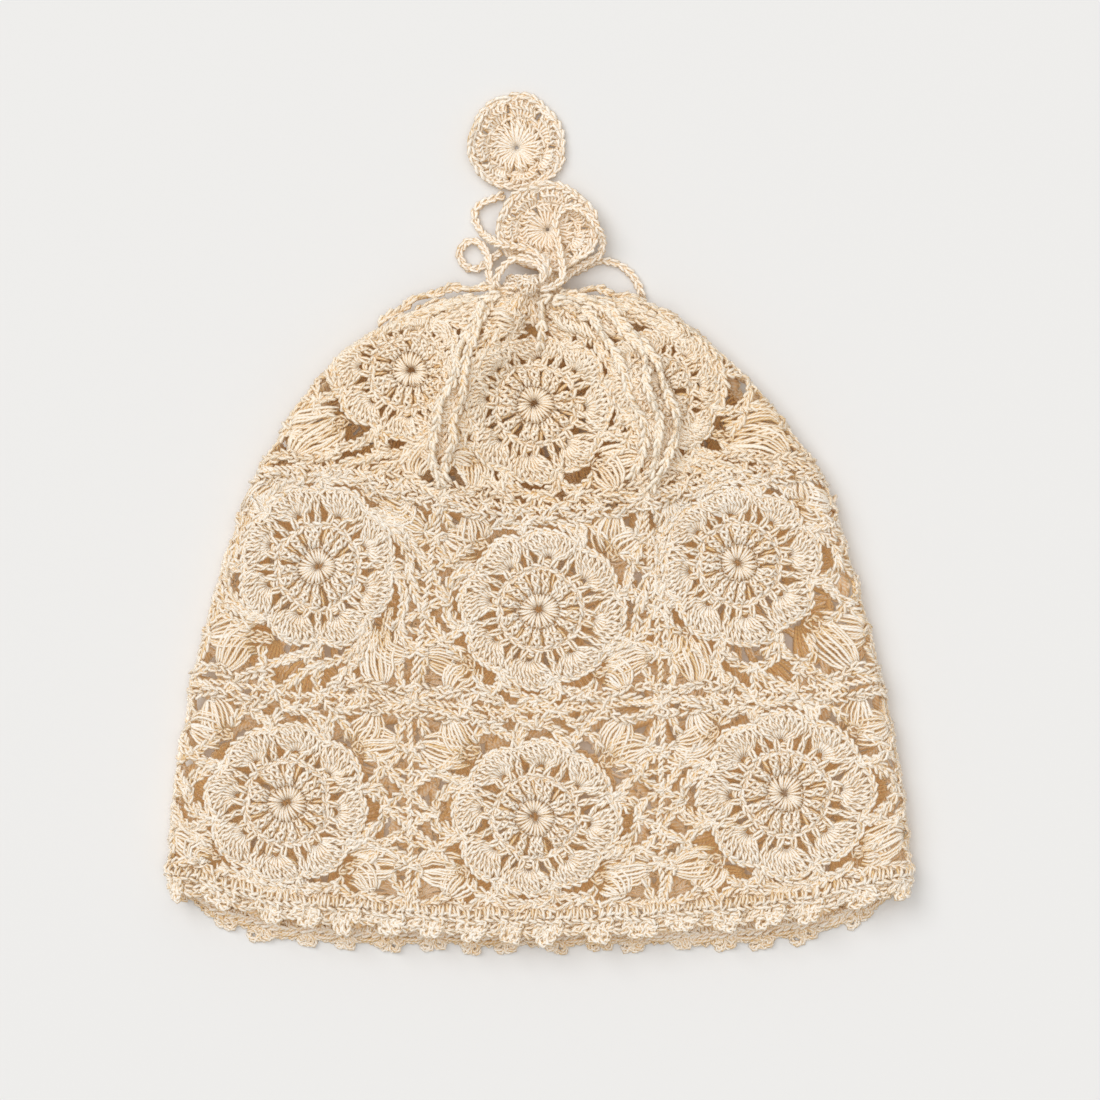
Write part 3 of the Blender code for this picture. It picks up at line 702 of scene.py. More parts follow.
rope = {
    "step": 0.0010,  # between the points of a route
    "size": 0.96,
    "lift": 0.55,  # of each of its two rows of V's from the middle, in strands
    "tones": (0.58, 0.45),  # of the upper and the lower row, the lower one darker as painted shade
    "roll": 0.25,
    "sides": 5,
    "slot": "cotton_cord",
}


def smoothRoute(points, step):
    # points every step along a smooth curve through given ones, which are in millimetres
    points = np.array(points) / 1000
    knots = marksAlong(points)
    fine = curveWeights(knots, np.linspace(0, knots[-1], 40 * len(points))) @ points
    marks = marksAlong(fine)
    count = max(4, round(marks[-1] / step) + 1)
    return valuesAt(np.linspace(0, marks[-1], count), marks, fine)


def ropeNormals(line):
    # the upper side of a rope, turned smoothly along it
    ways = unit(np.gradient(line, axis=0))
    up = np.array((0.0, 0.05, 1.0))
    return unit(up - ways * (ways @ up)[:, None])


def ropeAlong(skein, line, outs, closed=False):
    size, roll = rope["size"], rope["roll"]
    above, below = rope["tones"]
    lift = yarn["radius"] * rope["lift"] * size
    chainAlong(skein, line + outs * lift, outs, size, closed, above, roll=roll)
    chainAlong(skein, line - outs * lift, outs, size, closed, below, under=False, flip=True, roll=roll)


def makeCord(name, node, seed):
    route = smoothRoute(cordRoutes[name], rope["step"])
    skein = newSkein(seed)
    ropeAlong(skein, route, ropeNormals(route))
    return windUp(name, skein, rope["sides"], cordCotton, node), route


# Radii are shares of the medallion's own, heights are in metres from the centre out
medallion = {
    "width": 0.0352,
    "cup": 0.0036,  # how far the lower one's rim stands up
    "curl": 0.0046,  # how far the upper one's left edge curls up
    "lift": 0.0031,
    "size": 1.05,  # of its strands
    "hole": 0.045,
    "inner": 0.60,
    "strands": 27,  # stitches round the hole
    "innerHeight": (0.0008, 0.0019, 0.0023, 0.0022, 0.0020, 0.0015),
    "innerGap": (0.22, 0.34, 0.46, 0.58, 0.70, 0.72),  # in millimetres
    "innerSize": (0.6, 0.75, 0.9, 1.0, 1.05, 1.0),
    "innerTone": 0.60,
    "ring": 0.63,
    "ringHeight": 0.0014,
    "shells": (0.60, 0.93),
    "lobes": 7,
    "perLobe": 6,
    "shellHeight": (0.0014, 0.0020, 0.0023, 0.0022, 0.0018),
    "shellGap": (0.45, 0.58, 0.66, 0.70, 0.70),  # in millimetres
    "shellTone": 0.58,
    "fan": (0.50, 1.03),  # how wide a shell is at its two ends, in lobes
    "rim": 1.0,
    "rims": ((1.0, 0.0021, 0.62), (0.945, 0.0013, 0.50)),  # share of the rim, height, tone; the lower rim is darker as painted shade
    "rimSize": 1.08,
    "scallop": 0.055,
    # the hole isn't quite in the middle: reach lengthens one side of it, up the picture
    "lower": {"at": (0.0034, 0.1388), "stretch": (0.99, 0.86), "reach": 0.04, "seed": 61},
    "upper": {"at": (-0.0077, 0.1685), "stretch": (0.94, 0.94), "reach": 0.13, "seed": 62},
}


def medallionPlace(which, flat, height):
    # flat (..., 2) in shares of the radius; height above the underside
    half = medallion["width"] / 2
    facts = medallion[which]
    x = flat[..., 0] * half * facts["stretch"][0]
    y = flat[..., 1] * half * facts["stretch"][1] * (1 + facts["reach"] * flat[..., 1])
    if which == "lower":
        z = medallion["lift"] + medallion["cup"] * (flat ** 2).sum(axis=-1)
    else:
        edge = np.maximum(0.0, (-flat[..., 0] - 0.35) / 0.65)
        z = medallion["curl"] * edge ** 1.6
    return np.stack([x + facts["at"][0], y + facts["at"][1], z + height], axis=-1)


def medallionOn(which, flat, height):
    step = 1e-3
    points = medallionPlace(which, flat, height)
    right = medallionPlace(which, flat + (step, 0), height) - points
    up = medallionPlace(which, flat + (0, step), height) - points
    return points, unit(np.cross(right, up))


def medallionCentre(skein):
    # long stitches round the hole, strands between them toned darker as painted shade, and a ring of
    # chain
    dice = skein["dice"]
    count = medallion["strands"]
    hole = medallion["hole"]
    turns = spreadTurns(count, dice, 0.16)[:, None]
    t = np.linspace(0, 1, 6)
    radii = hole + (medallion["inner"] - hole + dice.normal(0, 0.02, (count, 1))) * t
    flat = polar(radii, turns + dice.normal(0, 0.05, (count, 1)) * t)
    height = np.array(medallion["innerHeight"]) + dice.normal(0, 0.0001, (count, 1))
    gap, size, tone = (medallion[key] for key in ("innerGap", "innerSize", "innerTone"))
    pairsOn(skein, flat, height, gap, 0.30, np.array(size), tone, wraps=[(0.80, 0.8)])
    strandsOn(skein, polar(hole + 0.1 + 0.42 * t, turns + math.pi / count), 0.0008, 0.95, 0.30)
    ring = medallion["ring"] + dice.normal(0, 0.008, 90)
    chainOn(skein, polar(ring, roundTurns(90)), medallion["ringHeight"], closed=True)


def medallionShells(skein):
    # fans of tall stitches that start together, with strands behind them toned dark as painted shade
    lobes, per = medallion["lobes"], medallion["perLobe"]
    index = np.arange(lobes * per)
    place = (index % per - (per - 1) / 2) / per
    lobeTurn = math.tau * (index // per + 0.5) / lobes
    near, far = (lobeTurn + place * math.tau / lobes * fan for fan in medallion["fan"])
    low, high = medallion["shells"]
    t = np.linspace(0, 1, 5)
    top = high - medallion["scallop"] * (2 * place) ** 2 * 1.2
    radii = low + (top[:, None] - low) * t
    flat = polar(radii, near[:, None] + (far - near)[:, None] * t)
    unevenness = skein["dice"].normal(0, 0.00015, (len(index), 1))
    height = np.array(medallion["shellHeight"]) + unevenness
    gap, size, tone = (medallion[key] for key in ("shellGap", "size", "shellTone"))
    pairsOn(skein, flat, height, gap, 0.45, size, tone, wraps=[(0.6, 0.9)])
    behind = polar(radii, near[:, None] * 0.5 + far[:, None] * 0.5 + math.pi / lobes / per)
    strandsOn(skein, behind, 0.0009, 1.9, 0.32)


def makeMedallion(name, which, node):
    skein = newSkein(medallion[which]["seed"], medallion["size"], partial(medallionOn, which))
    medallionCentre(skein)
    medallionShells(skein)
    turns = roundTurns(160)
    wave = np.sqrt(np.abs(np.sin(medallion["lobes"] / 2 * turns)))
    for share, height, tone in medallion["rims"]:
        rim = (medallion["rim"] - medallion["scallop"] * (1 - wave)) * share
        rim = rim + skein["dice"].normal(0, 0.006, len(turns))
        chainOn(skein, polar(rim, turns), height, medallion["rimSize"], closed=True, tone=tone)
    return windUp(name, skein, 4, cordCotton, node)


def makeCords():
    fittings = {
        "tailLower": makeMedallion("medallionLower", "lower", "medallion_lower"),
        "tailUpper": makeMedallion("medallionUpper", "upper", "medallion_upper"),
    }
    for name, node, seed in (
        ("bowLoopFront", "bow_loop_front", 41),
        ("bowLoopRight", "bow_loop_right", 42),
        ("bowLoopBack", "bow_loop_back", 43),
        ("tailLower", "tail_lower", 44),
        ("tailUpper", "tail_upper", 45),
    ):
        piece, route = makeCord(name, node, seed)


makeCords()
print("beanie: cords and medallions")

neckUp = (lie[-1, 8] - hat["middleUp"]) * hat["bodyHeight"]


def neckPlace(away, turn, along):
    # round the gathered neck, a distance out from it and past the crown's edge
    x = hat["neckX"] + (hat["neckWidth"] / 2 + away) * np.sin(turn)
    z = hat["neckLift"] + hat["neckDepth"] / 2 + (hat["neckDepth"] / 2 + away) * np.cos(turn)
    return np.stack(np.broadcast_arrays(x, neckUp + along, z), axis=-1)


def makeDrawstring():
    turns = roundTurns(60)
    away = hat["flute"] * 0.6 + hat["cord"] / 2 + 0.0003
    line = neckPlace(away, turns, hat["waist"] + hat["cord"] / 2)
    outs = np.stack([np.sin(turns), np.full(60, -0.15), np.cos(turns)], axis=1)
    skein = newSkein(51)
    ropeAlong(skein, line, unit(outs), closed=True)
    windUp("drawstring_rope", skein, rope["sides"], cordCotton, "drawstring")


knot = {
    "at": (-0.0039, 0.11795, 0.0206),
    "width": 0.0080,
    "depth": 0.0058,
    "size": 0.86,
    # of the tight turns: place across, tilt, and shares of the knot's width and height
    "turns": ((-0.0012, 0.35, 0.8, 1.0), (0.0016, -0.5, 0.7, 0.9)),
}


def makeKnot():
    # a band over the front of two tight turns of the cord
    skein = newSkein(52)
    middle = np.array(knot["at"])
    half = knot["width"] / 2 - hat["cord"] * 0.42
    deep = knot["depth"] / 2 - hat["cord"] * 0.36
    turns = roundTurns(40)
    cos, sin = np.cos(turns), np.sin(turns)
    for centre, tilt, wide, tall in knot["turns"]:
        across = sin * half * wide * 0.5
        up = cos * half * tall
        x = across * math.cos(tilt) - up * math.sin(tilt) * 0.5 + centre
        y = up * math.cos(tilt) + across * math.sin(tilt)
        line = middle + np.stack([x, y, sin * deep * 0.9], axis=1)
        outs = unit(np.stack([sin * 0.4, cos, sin + 0.9], axis=1))
        chainAlong(skein, line, outs, knot["size"], closed=True)
    line = middle + np.stack([cos * half * 0.95, sin * half * 0.35, sin * deep * 1.05], axis=1)
    outs = unit(np.stack([cos, np.zeros(40), sin + 0.2], axis=1))
    chainAlong(skein, line, outs, knot["size"], closed=True, tone=0.55)
    windUp("bowKnot", skein, 5, cordCotton, "bow_knot")


frill = {
    "ropes": 20,
    "size": 0.82,
    "pleats": 8,
    "pleat": 0.0004,  # how deep they are between neck and edge
    "edgePleat": 0.0006,
    # how far it lies out from the neck, from its foot to its edge; the cord lies at the waist
    "spreads": (-0.0004, -0.0003, -0.0008, 0.0000, hat["frillFlare"]),
    "slot": "cotton_lace",
}


def makeFrill():
    skein = newSkein(53)
    size, pleats = frill["size"], frill["pleats"]
    waist = hat["waist"] + hat["cord"] / 2
    marks = (-0.0006, 0.0008, waist, waist + hat["cord"] / 2, hat["frillHeight"])
    along = np.linspace(marks[0], marks[-1], 14)
    for i in range(frill["ropes"]):
        turn = math.tau * (i + skein["dice"].normal(0, 0.15)) / frill["ropes"]
        spread = np.interp(along, marks, frill["spreads"]) + frill["pleat"] * math.cos(pleats * turn)
        line = neckPlace(spread, turn + 0.12 * np.sin(along * 700), along)
        outs = np.tile([math.sin(turn), 0.2, math.cos(turn)], (len(along), 1))
        chainAlong(skein, line, unit(outs), size, under=False)
    turns = roundTurns(90)
    for up, spread in ((hat["frillHeight"] - 0.0004, hat["frillFlare"]), (0.0001, 0.0)):
        away = spread + frill["edgePleat"] * np.cos(pleats * turns) - 0.0004
        line = neckPlace(away, turns, up + 0.0004 * np.sin(2 * pleats * turns))
        outs = np.stack([np.sin(turns), np.full(90, 0.6), np.cos(turns)], axis=1)
        chainAlong(skein, line, unit(outs), size, closed=True)
    windUp("frillLace", skein, 5, laceCotton, "gathered_top")


makeDrawstring()
makeKnot()
makeFrill()
print("beanie: neck, drawstring and knot")

# The square motif, in shares of its own width
motifPlan = {
    "flower": 0.0292,  # radius of a flower that lies flat, in metres
    "flowerEdge": 0.367,
    "roundness": 0.18,  # a flower of the back layer is squeezed less than the net round it
    "backSpread": 0.12,  # and lies a little wider
    "secondRing": 0.184,  # between the posts and the petals
    "petals": 8,
    "petalTop": 0.356,
    "petalValley": 0.322,
    "cornerHole": (0.292, 0.278),
    "puffTips": ((0.448, 0.300), (0.345, 0.430)),
    "backFlowerTone": -0.30,  # painted shade: the back layer's flowers lie in the dark under the front's
    # painted light: the back layer's net is made lighter, against the front layer's shade
    "backNetTone": 0.12,
    "quarters": ((1, 0), (0, 1), (-1, 0), (0, -1)),  # cosine and sine of each quarter turn
    "signs": ((1, 1), (-1, 1), (-1, -1), (1, -1)),  # of the four corners
}
# Where the front flowers lie in the picture: the middle, then how far each one reaches to the
# left, right, up and down, in millimetres, and its turn in degrees
frontFlowers = {
    (-1, 0): ((-89.9, -66.9), (29.7, 29.7, 29.3, 30.0), -10),
    (0, 0): ((-1.0, -72.1), (30.4, 31.2, 29.1, 28.6), -7),
    (1, 0): ((88.5, -63.4), (32.5, 32.9, 30.8, 31.9), 2),
    (-1, 1): ((-78.7, 17.5), (29.4, 28.4, 30.7, 29.0), 22),
    (0, 1): ((0.7, 2.1), (29.6, 31.5, 29.7, 28.6), -10),
    (1, 1): ((71.9, 19.0), (28.2, 30.0, 27.2, 31.1), 8),
    (-1, 2): ((-45.4, 87.8), (27.9, 17.2, 20.5, 25.0), -5),
    (0, 2): ((-1.1, 75.8), (25.0, 28.0, 24.0, 29.3), -3),
    (1, 2): ((41.8, 80.8), (16.0, 22.5, 20.7, 24.0), 5),
}


def sideReach(share, reach):
    # how far a place at a share of the flower's radius lies out, where that side is drawn in
    low, high = -6.0, 6.0
    wanted = motifPlan["flower"] / reach
    for _ in range(40):
        bend = (low + high) / 2
        slope = bend / (1 - math.exp(-bend)) if abs(bend) > 1e-6 else 1.0
        if slope < wanted:
            low = bend
        else:
            high = bend
    if abs(bend) < 1e-4:
        return share * reach
    return reach * (1 - np.exp(-bend * share)) / (1 - math.exp(-bend))


def plainPlaces(motif, x, y):
    # round and up the hat; two motifs draw apart by the seam where the neck gathers them
    level = motif["row"] + 0.5 + y
    neckRound = math.pi * (hat["neckWidth"] + hat["neckDepth"]) / 2
    squeeze = hat["seam"] * around / neckRound * softStep(level - hat["rows"] + 1)
    return motif["column"] + x * (1 - squeeze), level


def findPlaces(goal, turn, level):
    # places round and up the hat whose outer side lies over points of the plane, near given ones
    atTurn, atLevel = turn.copy(), level.copy()
    stride, away, edge, flattest = 0.05, 0.3, foldAt - 0.02, 3e-4
    for _ in range(14):
        here = outerSide(atTurn, atLevel)[:, :2]
        miss = goal - here
        alongTurn = (outerSide(atTurn + probe, atLevel)[:, :2] - here) / probe
        alongLevel = (outerSide(atTurn, atLevel + probe)[:, :2] - here) / probe
        size = alongTurn[:, 0] * alongLevel[:, 1] - alongTurn[:, 1] * alongLevel[:, 0]
        size = np.where(np.abs(size) < flattest, flattest, size)
        moveTurn = (miss[:, 0] * alongLevel[:, 1] - miss[:, 1] * alongLevel[:, 0]) / size
        moveLevel = (alongTurn[:, 0] * miss[:, 1] - alongTurn[:, 1] * miss[:, 0]) / size
        atTurn = np.clip(atTurn + np.clip(moveTurn, -stride, stride), turn - away, turn + away)
        atLevel = np.clip(atLevel + np.clip(moveLevel, -stride, stride), level - away, level + away)
        atTurn = np.clip(atTurn, -edge, edge)
        atLevel = np.minimum(atLevel, np.maximum(level, hat["rows"] - 0.04))
    return atTurn, atLevel


def fitFlower(motif):
    # shifts round and up the hat that bring a front flower to its place in the picture, on a grid
    marks = np.linspace(-0.5, 0.5, 41)
    x, y = (grid.ravel() for grid in np.meshgrid(marks, marks, indexing="ij"))
    turn, level = plainPlaces(motif, x, y)
    home = outerSide(turn, level)[:, :2]
    middle, (left, right, up, down), lean = frontFlowers[motif["column"], motif["row"]]
    target = np.zeros_like(home)
    for axis, values, less, more in ((0, x, left, right), (1, y, down, up)):
        share = np.abs(values) / motifPlan["flowerEdge"]
        lower = -sideReach(share, less / 1000)
        upper = sideReach(share, more / 1000)
        target[:, axis] = middle[axis] / 1000 + np.where(values < 0, lower, upper)
    hold = 1 - softStep((np.hypot(x, y) - 0.355) / 0.15)
    hold = hold * softStep((0.5 - np.maximum(np.abs(x), np.abs(y))) / 0.09)
    atTurn, atLevel = findPlaces(home + (target - home) * hold[:, None], turn, level)
    shifts = np.where(hold == 0, 0.0, (atTurn - turn, atLevel - level))
    return shifts.reshape(2, len(marks), len(marks))


def gridValues(grid, x, y):
    last = grid.shape[1] - 1
    column = np.clip((x + 0.5) * last, 0, last - 1e-6)
    row = np.clip((y + 0.5) * last, 0, last - 1e-6)
    i, j = column.astype(int), row.astype(int)
    u, v = column - i, row - j
    low = grid[:, i, j] * (1 - v) + grid[:, i, j + 1] * v
    high = grid[:, i + 1, j] * (1 - v) + grid[:, i + 1, j + 1] * v
    return low * (1 - u) + high * u


def motifLace(motif, flat, height):
    # flat (..., 2) from the motif's middle; gives points and outward
    x, y = flat[..., 0], flat[..., 1]
    reach = np.hypot(x, y)
    turn = motif["turn"] * (1 - softStep((reach - 0.33) / 0.13))
    cos, sin = np.cos(turn), np.sin(turn)
    x, y = x * cos - y * sin, x * sin + y * cos
    if motif["front"]:
        turn, level = plainPlaces(motif, x, y)
        shiftTurn, shiftLevel = gridValues(motif["shift"], x, y)
        turn = turn + shiftTurn
        level = level + shiftLevel
    else:
        spread = 1 + motifPlan["backSpread"] * (1 - softStep((reach - 0.30) / 0.17))
        x, y = x * spread, y * spread
        y = y * (1 + motifPlan["roundness"] * (1 - np.minimum(1, (2 * y) ** 2)))
        turn, level = plainPlaces(motif, x, y)
    return onLace(np.stack([turn, level], axis=-1), height)


# painted shade on the back layer's flowers
def flowerTone(motif, tone):
    return tone if motif["front"] else tone + motifPlan["backFlowerTone"]


# painted light on the back layer's net
def netTone(motif, tone):
    return tone if motif["front"] else tone + motifPlan["backNetTone"]


def wrapsOf(motif, stitch):
    return stitch["wraps"] if motif["front"] else stitch["wraps"][:1]


# Heights above the inner side are in metres, gaps between a stitch's strands in millimetres, both
# from the start of a stitch to its end; sizes are in strands
woundRing = {
    "strands": 28,
    "hole": 0.017,
    "edge": 0.080,
    "over": 0.004,  # how far the strands reach past the edge
    "height": (0.0006, 0.0020, 0.0025, 0.0022, 0.0012),
    "size": (0.55, 0.70, 0.90, 1.0, 0.95),
    "tone": 0.66,
    "ring": 0.084,  # a ring of chain under its edge, toned dark as painted shade
}


def makeWoundRing(skein, motif):
    count = woundRing["strands"]
    dice = skein["dice"]
    turns = spreadTurns(count, dice, 0.12)
    radii = np.linspace(0, 1, 5) * (woundRing["edge"] - woundRing["hole"] + woundRing["over"])
    radii = woundRing["hole"] + radii + dice.normal(0, 0.0028, (count, 1))
    height = np.array(woundRing["height"]) + dice.normal(0, 0.0001, (count, 1))
    tone = flowerTone(motif, woundRing["tone"])
    strandsOn(skein, polar(radii, turns[:, None]), height, np.array(woundRing["size"]), tone)
    chainOn(skein, circle(woundRing["ring"], 60), 0.0004, 0.86, closed=True, tone=0.3, under=False)


posts = {
    "count": 16,
    "from": 0.086,
    "to": 0.176,
    "height": (0.0013, 0.0018, 0.0020, 0.0020, 0.0017),
    "gap": (0.66, 0.98, 1.22, 1.36, 1.46),
    "size": 1.12,
    "tone": 0.62,
    "wraps": ((0.42, 1.00), (0.78, 1.15)),  # share of the post, gap; a back one has the first
    "behindHeight": (0.0004, 0.0010, 0.0012, 0.0011),
    "ringTone": 0.56,
}


def makePosts(skein, motif):
    count = posts["count"]
    dice = skein["dice"]
    turns = spreadTurns(count, dice, 0.10)[:, None]
    t = np.linspace(0, 1, 5)
    radii = posts["from"] + (posts["to"] - posts["from"]) * t
    flat = polar(radii, turns + dice.normal(0, 0.05, (count, 1)) * t)
    height, gap, size = (posts[key] for key in ("height", "gap", "size"))
    tone, wraps = flowerTone(motif, posts["tone"]), wrapsOf(motif, posts)
    pairsOn(skein, flat, height, gap, 1.15, size, tone, strands=3, flat=0.5, wraps=wraps)
    if motif["front"]:
        # strands between the posts, toned dark as painted shade in the gaps
        between = polar(np.linspace(0.108, 0.180, 4), turns + math.pi / count)
        strandsOn(skein, between, posts["behindHeight"], 1.2, 0.20)
    ring = circle(motifPlan["secondRing"], 110)
    ring = ring + dice.normal(0, 0.0012, ring.shape)
    chainOn(skein, ring, 0.0013, 1.05, closed=True, tone=flowerTone(motif, posts["ringTone"]))


petal = {
    "trebles": 9,
    "hole": 0.226,  # the small hole that a petal's stitches are worked into
    "holeSize": 0.014,
    "holeFan": 1.75,  # half of the turn that they take up round it
    "topFan": 0.97,  # share of the petal's place that they fill at its edge
    "height": (0.0008, 0.0017, 0.0021, 0.0022, 0.0020, 0.0016),
    "gap": (0.30, 0.42, 0.55, 0.62, 0.66, 0.66),
    "size": (0.75, 0.9, 1.02, 1.08, 1.08, 1.0),
    "tone": 0.64,
    "wraps": ((0.50, 0.85), (0.80, 0.90)),
    "behindHeight": (0.0004, 0.0008, 0.0009, 0.0009, 0.0008),
    "behindTone": 0.18,
    "between": 1.05,  # size of the stitches between petals and round their holes
    "edge": 0.352,
    "edgeTone": 0.60,
}


def makePetals(skein, motif):
    dice = skein["dice"]
    petals, trebles = motifPlan["petals"], petal["trebles"]
    index = np.arange(petals * trebles)
    place = (index % trebles - (trebles - 1) / 2) / (trebles / 2)
    sway = dice.normal(0, 0.035, petals)[index // trebles]
    petalTurn = math.tau * (index // trebles) / petals
    heading = petalTurn + sway * 0.5
    starts = polar(petal["hole"], heading)
    starts = starts + polar(petal["holeSize"], heading + place * petal["holeFan"])
    fan = petalTurn + place * math.pi / petals * petal["topFan"]
    dip = motifPlan["petalTop"] - motifPlan["petalValley"]
    rim = motifPlan["petalTop"] - dip * place ** 2
    ends = polar(rim + dice.normal(0, 0.0025, len(index)), fan + dice.normal(0, 0.008, len(index)))
    curves = bowed(starts, ends, place * 0.12 + dice.normal(0, 0.02, len(index)), 6)
    height = np.array(petal["height"]) + dice.normal(0, 0.00016, (len(index), 1))
    tone, wraps = flowerTone(motif, petal["tone"]), wrapsOf(motif, petal)
    size = np.array(petal["size"])
    pairsOn(skein, curves, height, petal["gap"], 0.35, size, tone, flat=0.9, wraps=wraps)
    # the strands of the same stitches on the other side of the lace, seen between these and toned
    # darker as painted shade
    behind = bowed(starts, polar(rim * 0.985, fan + math.pi / petals / trebles), place * 0.12, 5)
    tone = flowerTone(motif, petal["behindTone"])
    strandsOn(skein, behind, petal["behindHeight"], 1.08, tone)

    # one tall stitch between two petals
    betweens = math.tau * (np.arange(petals) + 0.5) / petals
    starts = polar(motifPlan["secondRing"] + 0.010, betweens)
    ends = polar(motifPlan["petalValley"] + 0.010, betweens)
    size = petal["between"]
    wraps = ((0.3, 1.0), (0.7, 1.0))
    pairsOn(skein, bowed(starts, ends, 0.03, 6), 0.0016, 0.9, 1.2, size, strands=3, wraps=wraps)

    # the stitches that reach from the ring to each petal's hole, left and right of it
    heads = math.tau * np.arange(petals) / petals
    for hand in (-1, 1):
        starts = polar(motifPlan["secondRing"] + 0.006, heads + hand * 0.15)
        ends = polar(petal["hole"] + 0.016, heads + hand * 0.145)
        pairsOn(skein, bowed(starts, ends, 0.0, 4), 0.0017, 0.9, 0.6, size, strands=3)
    starts, ends = (polar(petal["hole"] - 0.016, heads + aside) for aside in (-0.07, 0.07))
    pairsOn(skein, bowed(starts, ends, -0.15, 5), 0.0017, 0.5, 0.5)

    turns = roundTurns(320)
    wave = np.abs(((turns * petals / math.tau + 0.5) % 1) - 0.5) * 2
    edge = petal["edge"] - dip * wave ** 2
    edge = edge + 0.004 * np.sin(turns * 5 + motif["column"]) * np.sin(turns * 3 + 1)
    tone = flowerTone(motif, petal["edgeTone"])
    chainOn(skein, polar(edge, turns), 0.0019, closed=True, tone=tone, wide=1.15)


puff = {
    "strands": 10,
    "width": 0.0062,
    "bulge": 0.0005,
    "shape": ((0, 0.3, 0.7, 1), (0.84, 1.0, 0.86, 0.42)),  # width along it, from its root to its tip
    "size": 1.04,
    "tone": 0.60,
    # painted shade: darker near the root, where the strands go into the hole
    "rootTone": ((0, 0.25), (-0.35, 0)),
    "hole": 0.024,  # radius of the loop that the bundles are worked into
    "tip": 0.009,  # and of the stitch at each tip
}


def makePuffs(skein, motif):
    # two fans of loose strands in each corner, gathered at their tips
    dice = skein["dice"]
    count = puff["strands"]
    t = np.linspace(0, 1, 7)
    order = np.linspace(-1, 1, count)
    arc = np.sin(math.pi * t)
    hole = np.array(motifPlan["cornerHole"])
    spread = np.interp(t, *puff["shape"]) * puff["width"]
    bulge = arc * puff["bulge"] * np.sqrt(1.05 - order ** 2)[:, None]
    for signs in motifPlan["signs"]:
        if motif["row"] == topRow and signs[1] > 0:
            continue  # drawn together at the neck
        for tip in np.array(motifPlan["puffTips"]):
            way = (tip - hole) / np.linalg.norm(tip - hole)
            starts = hole + way * (0.020 - 0.016 * order[:, None] ** 2)
            flat = starts[:, None] + (tip - starts)[:, None] * t[:, None]
            points, outs = motifLace(motif, flat * signs, 0.0010 + bulge)
            ways = unit(np.gradient(points, axis=1))
            side = unit(np.cross(outs, ways)) * signs[0] * signs[1]
            aside = order[:, None] + dice.normal(0, 0.07, (count, 2)) @ np.stack([1 - t, t])
            points = points + side * (aside * spread)[..., None]
            points = points + dice.normal(0, 0.00012, points.shape)
            lift = dice.normal(0, 0.00036, count)[:, None] * arc
            points = points + outs * lift[..., None]
            shade = puff["tone"] + dice.normal(0, 0.12, count)[:, None]
            shade = shade + np.interp(t, *puff["rootTone"])
            addStrands(skein, points, outs, yarn["radius"] * puff["size"], netTone(motif, shade))
        # painted shade: the loop round the hole is toned dark
        ring = circle(puff["hole"], 20) + hole
        chainOn(skein, ring * signs, 0.0006, 0.85, closed=True, under=False, tone=0.3)
        for tip in motifPlan["puffTips"]:
            ring = circle(puff["tip"], 12) + tip
            chainOn(skein, ring * signs, 0.0014, 0.8, closed=True, under=False)


net = {
    "loopApex": 0.412,
    "sideJoints": (0.275, 0.092),  # up and down the side from its middle
    "corner": 0.500,
    "size": 1.04,
    "height": 0.0013,
    "tone": 0.52,
    "backCore": 1.7,  # the back layer is seen through the front, so its chains are thicker inside
    "roll": 0.6,
    "joinSize": 1.12,
    "joinGap": 0.9,  # in millimetres
    "joinHeight": 0.0012,
    "joinTone": 0.46,
    # rows of chain over the crown's flowers, up from their middles
    "crownRows": (0.30, 0.345, 0.39, 0.435, 0.475),
    "crownMiddleRows": (0.31, 0.40, 0.475),
}


def netLinks():
    # the chains of one side of a motif: start, end, and how far each is bowed
    tilt = math.pi / motifPlan["petals"]
    valley = motifPlan["petalValley"] + 0.016
    x, y = valley * math.cos(tilt), valley * math.sin(tilt)
    valleyUp, valleyDown = (x, y), (x, -y)
    innerUp, innerDown = (x * 0.965, y * 0.965), (x * 0.965, -y * 0.965)
    apex = net["loopApex"]
    tipSide, tipUp = motifPlan["puffTips"]
    holeX, holeY = motifPlan["cornerHole"]
    far, near = net["sideJoints"]
    edge = net["corner"]
    slack = apex * 0.985
    upper, lower = (slack, 0.186), (slack, -0.186)
    return (
        # loops round the flower, from valley to valley and on to the corner
        (valleyUp, (apex, 0.062), 0.16), ((apex, 0.062), (apex, -0.062), 0.06),
        ((apex, -0.062), valleyDown, 0.16), (innerUp, (apex - 0.022, 0.055), 0.16),
        ((apex - 0.022, -0.055), innerDown, 0.16), (innerUp, (slack - 0.012, 0.165), -0.12),
        ((slack - 0.012, -0.165), innerDown, -0.12), ((holeX + 0.03, holeY - 0.02), upper, 0.10),
        (upper, valleyUp, 0.12), (valleyDown, lower, 0.12),
        (lower, (holeX + 0.03, -holeY + 0.02), 0.10),
        # the joining round
        (tipSide, (edge, far), 0.0), ((edge, far), upper, 0.0), (upper, (edge, near), 0.0),
        ((edge, near), (apex, 0.0), 0.0), ((apex, 0.0), (edge, -near), 0.0),
        ((edge, -near), lower, 0.0), (lower, (edge, -far), 0.0),
        ((edge, -far), (tipSide[0], -tipSide[1]), 0.0),
        (tipSide, (edge, edge), 0.0), ((edge, edge), tipUp, 0.0),
    )


def turned(x, y, quarter):
    cos, sin = quarter
    return np.stack([x * cos - y * sin, x * sin + y * cos], axis=-1)


def makeCrownRows(skein, motif):
    middle = motif["front"] and motif["column"] == 0
    for up in net["crownMiddleRows" if middle else "crownRows"]:
        for hand in (-1, 1):
            across = np.linspace(0.10, 0.5, 22) * hand
            flat = np.stack([across, up + 0.008 * np.sin(across * 31 + up * 90)], axis=1)
            chainOn(skein, flat, 0.0020 + skein["dice"].normal(0, 0.0003), tone=0.55)


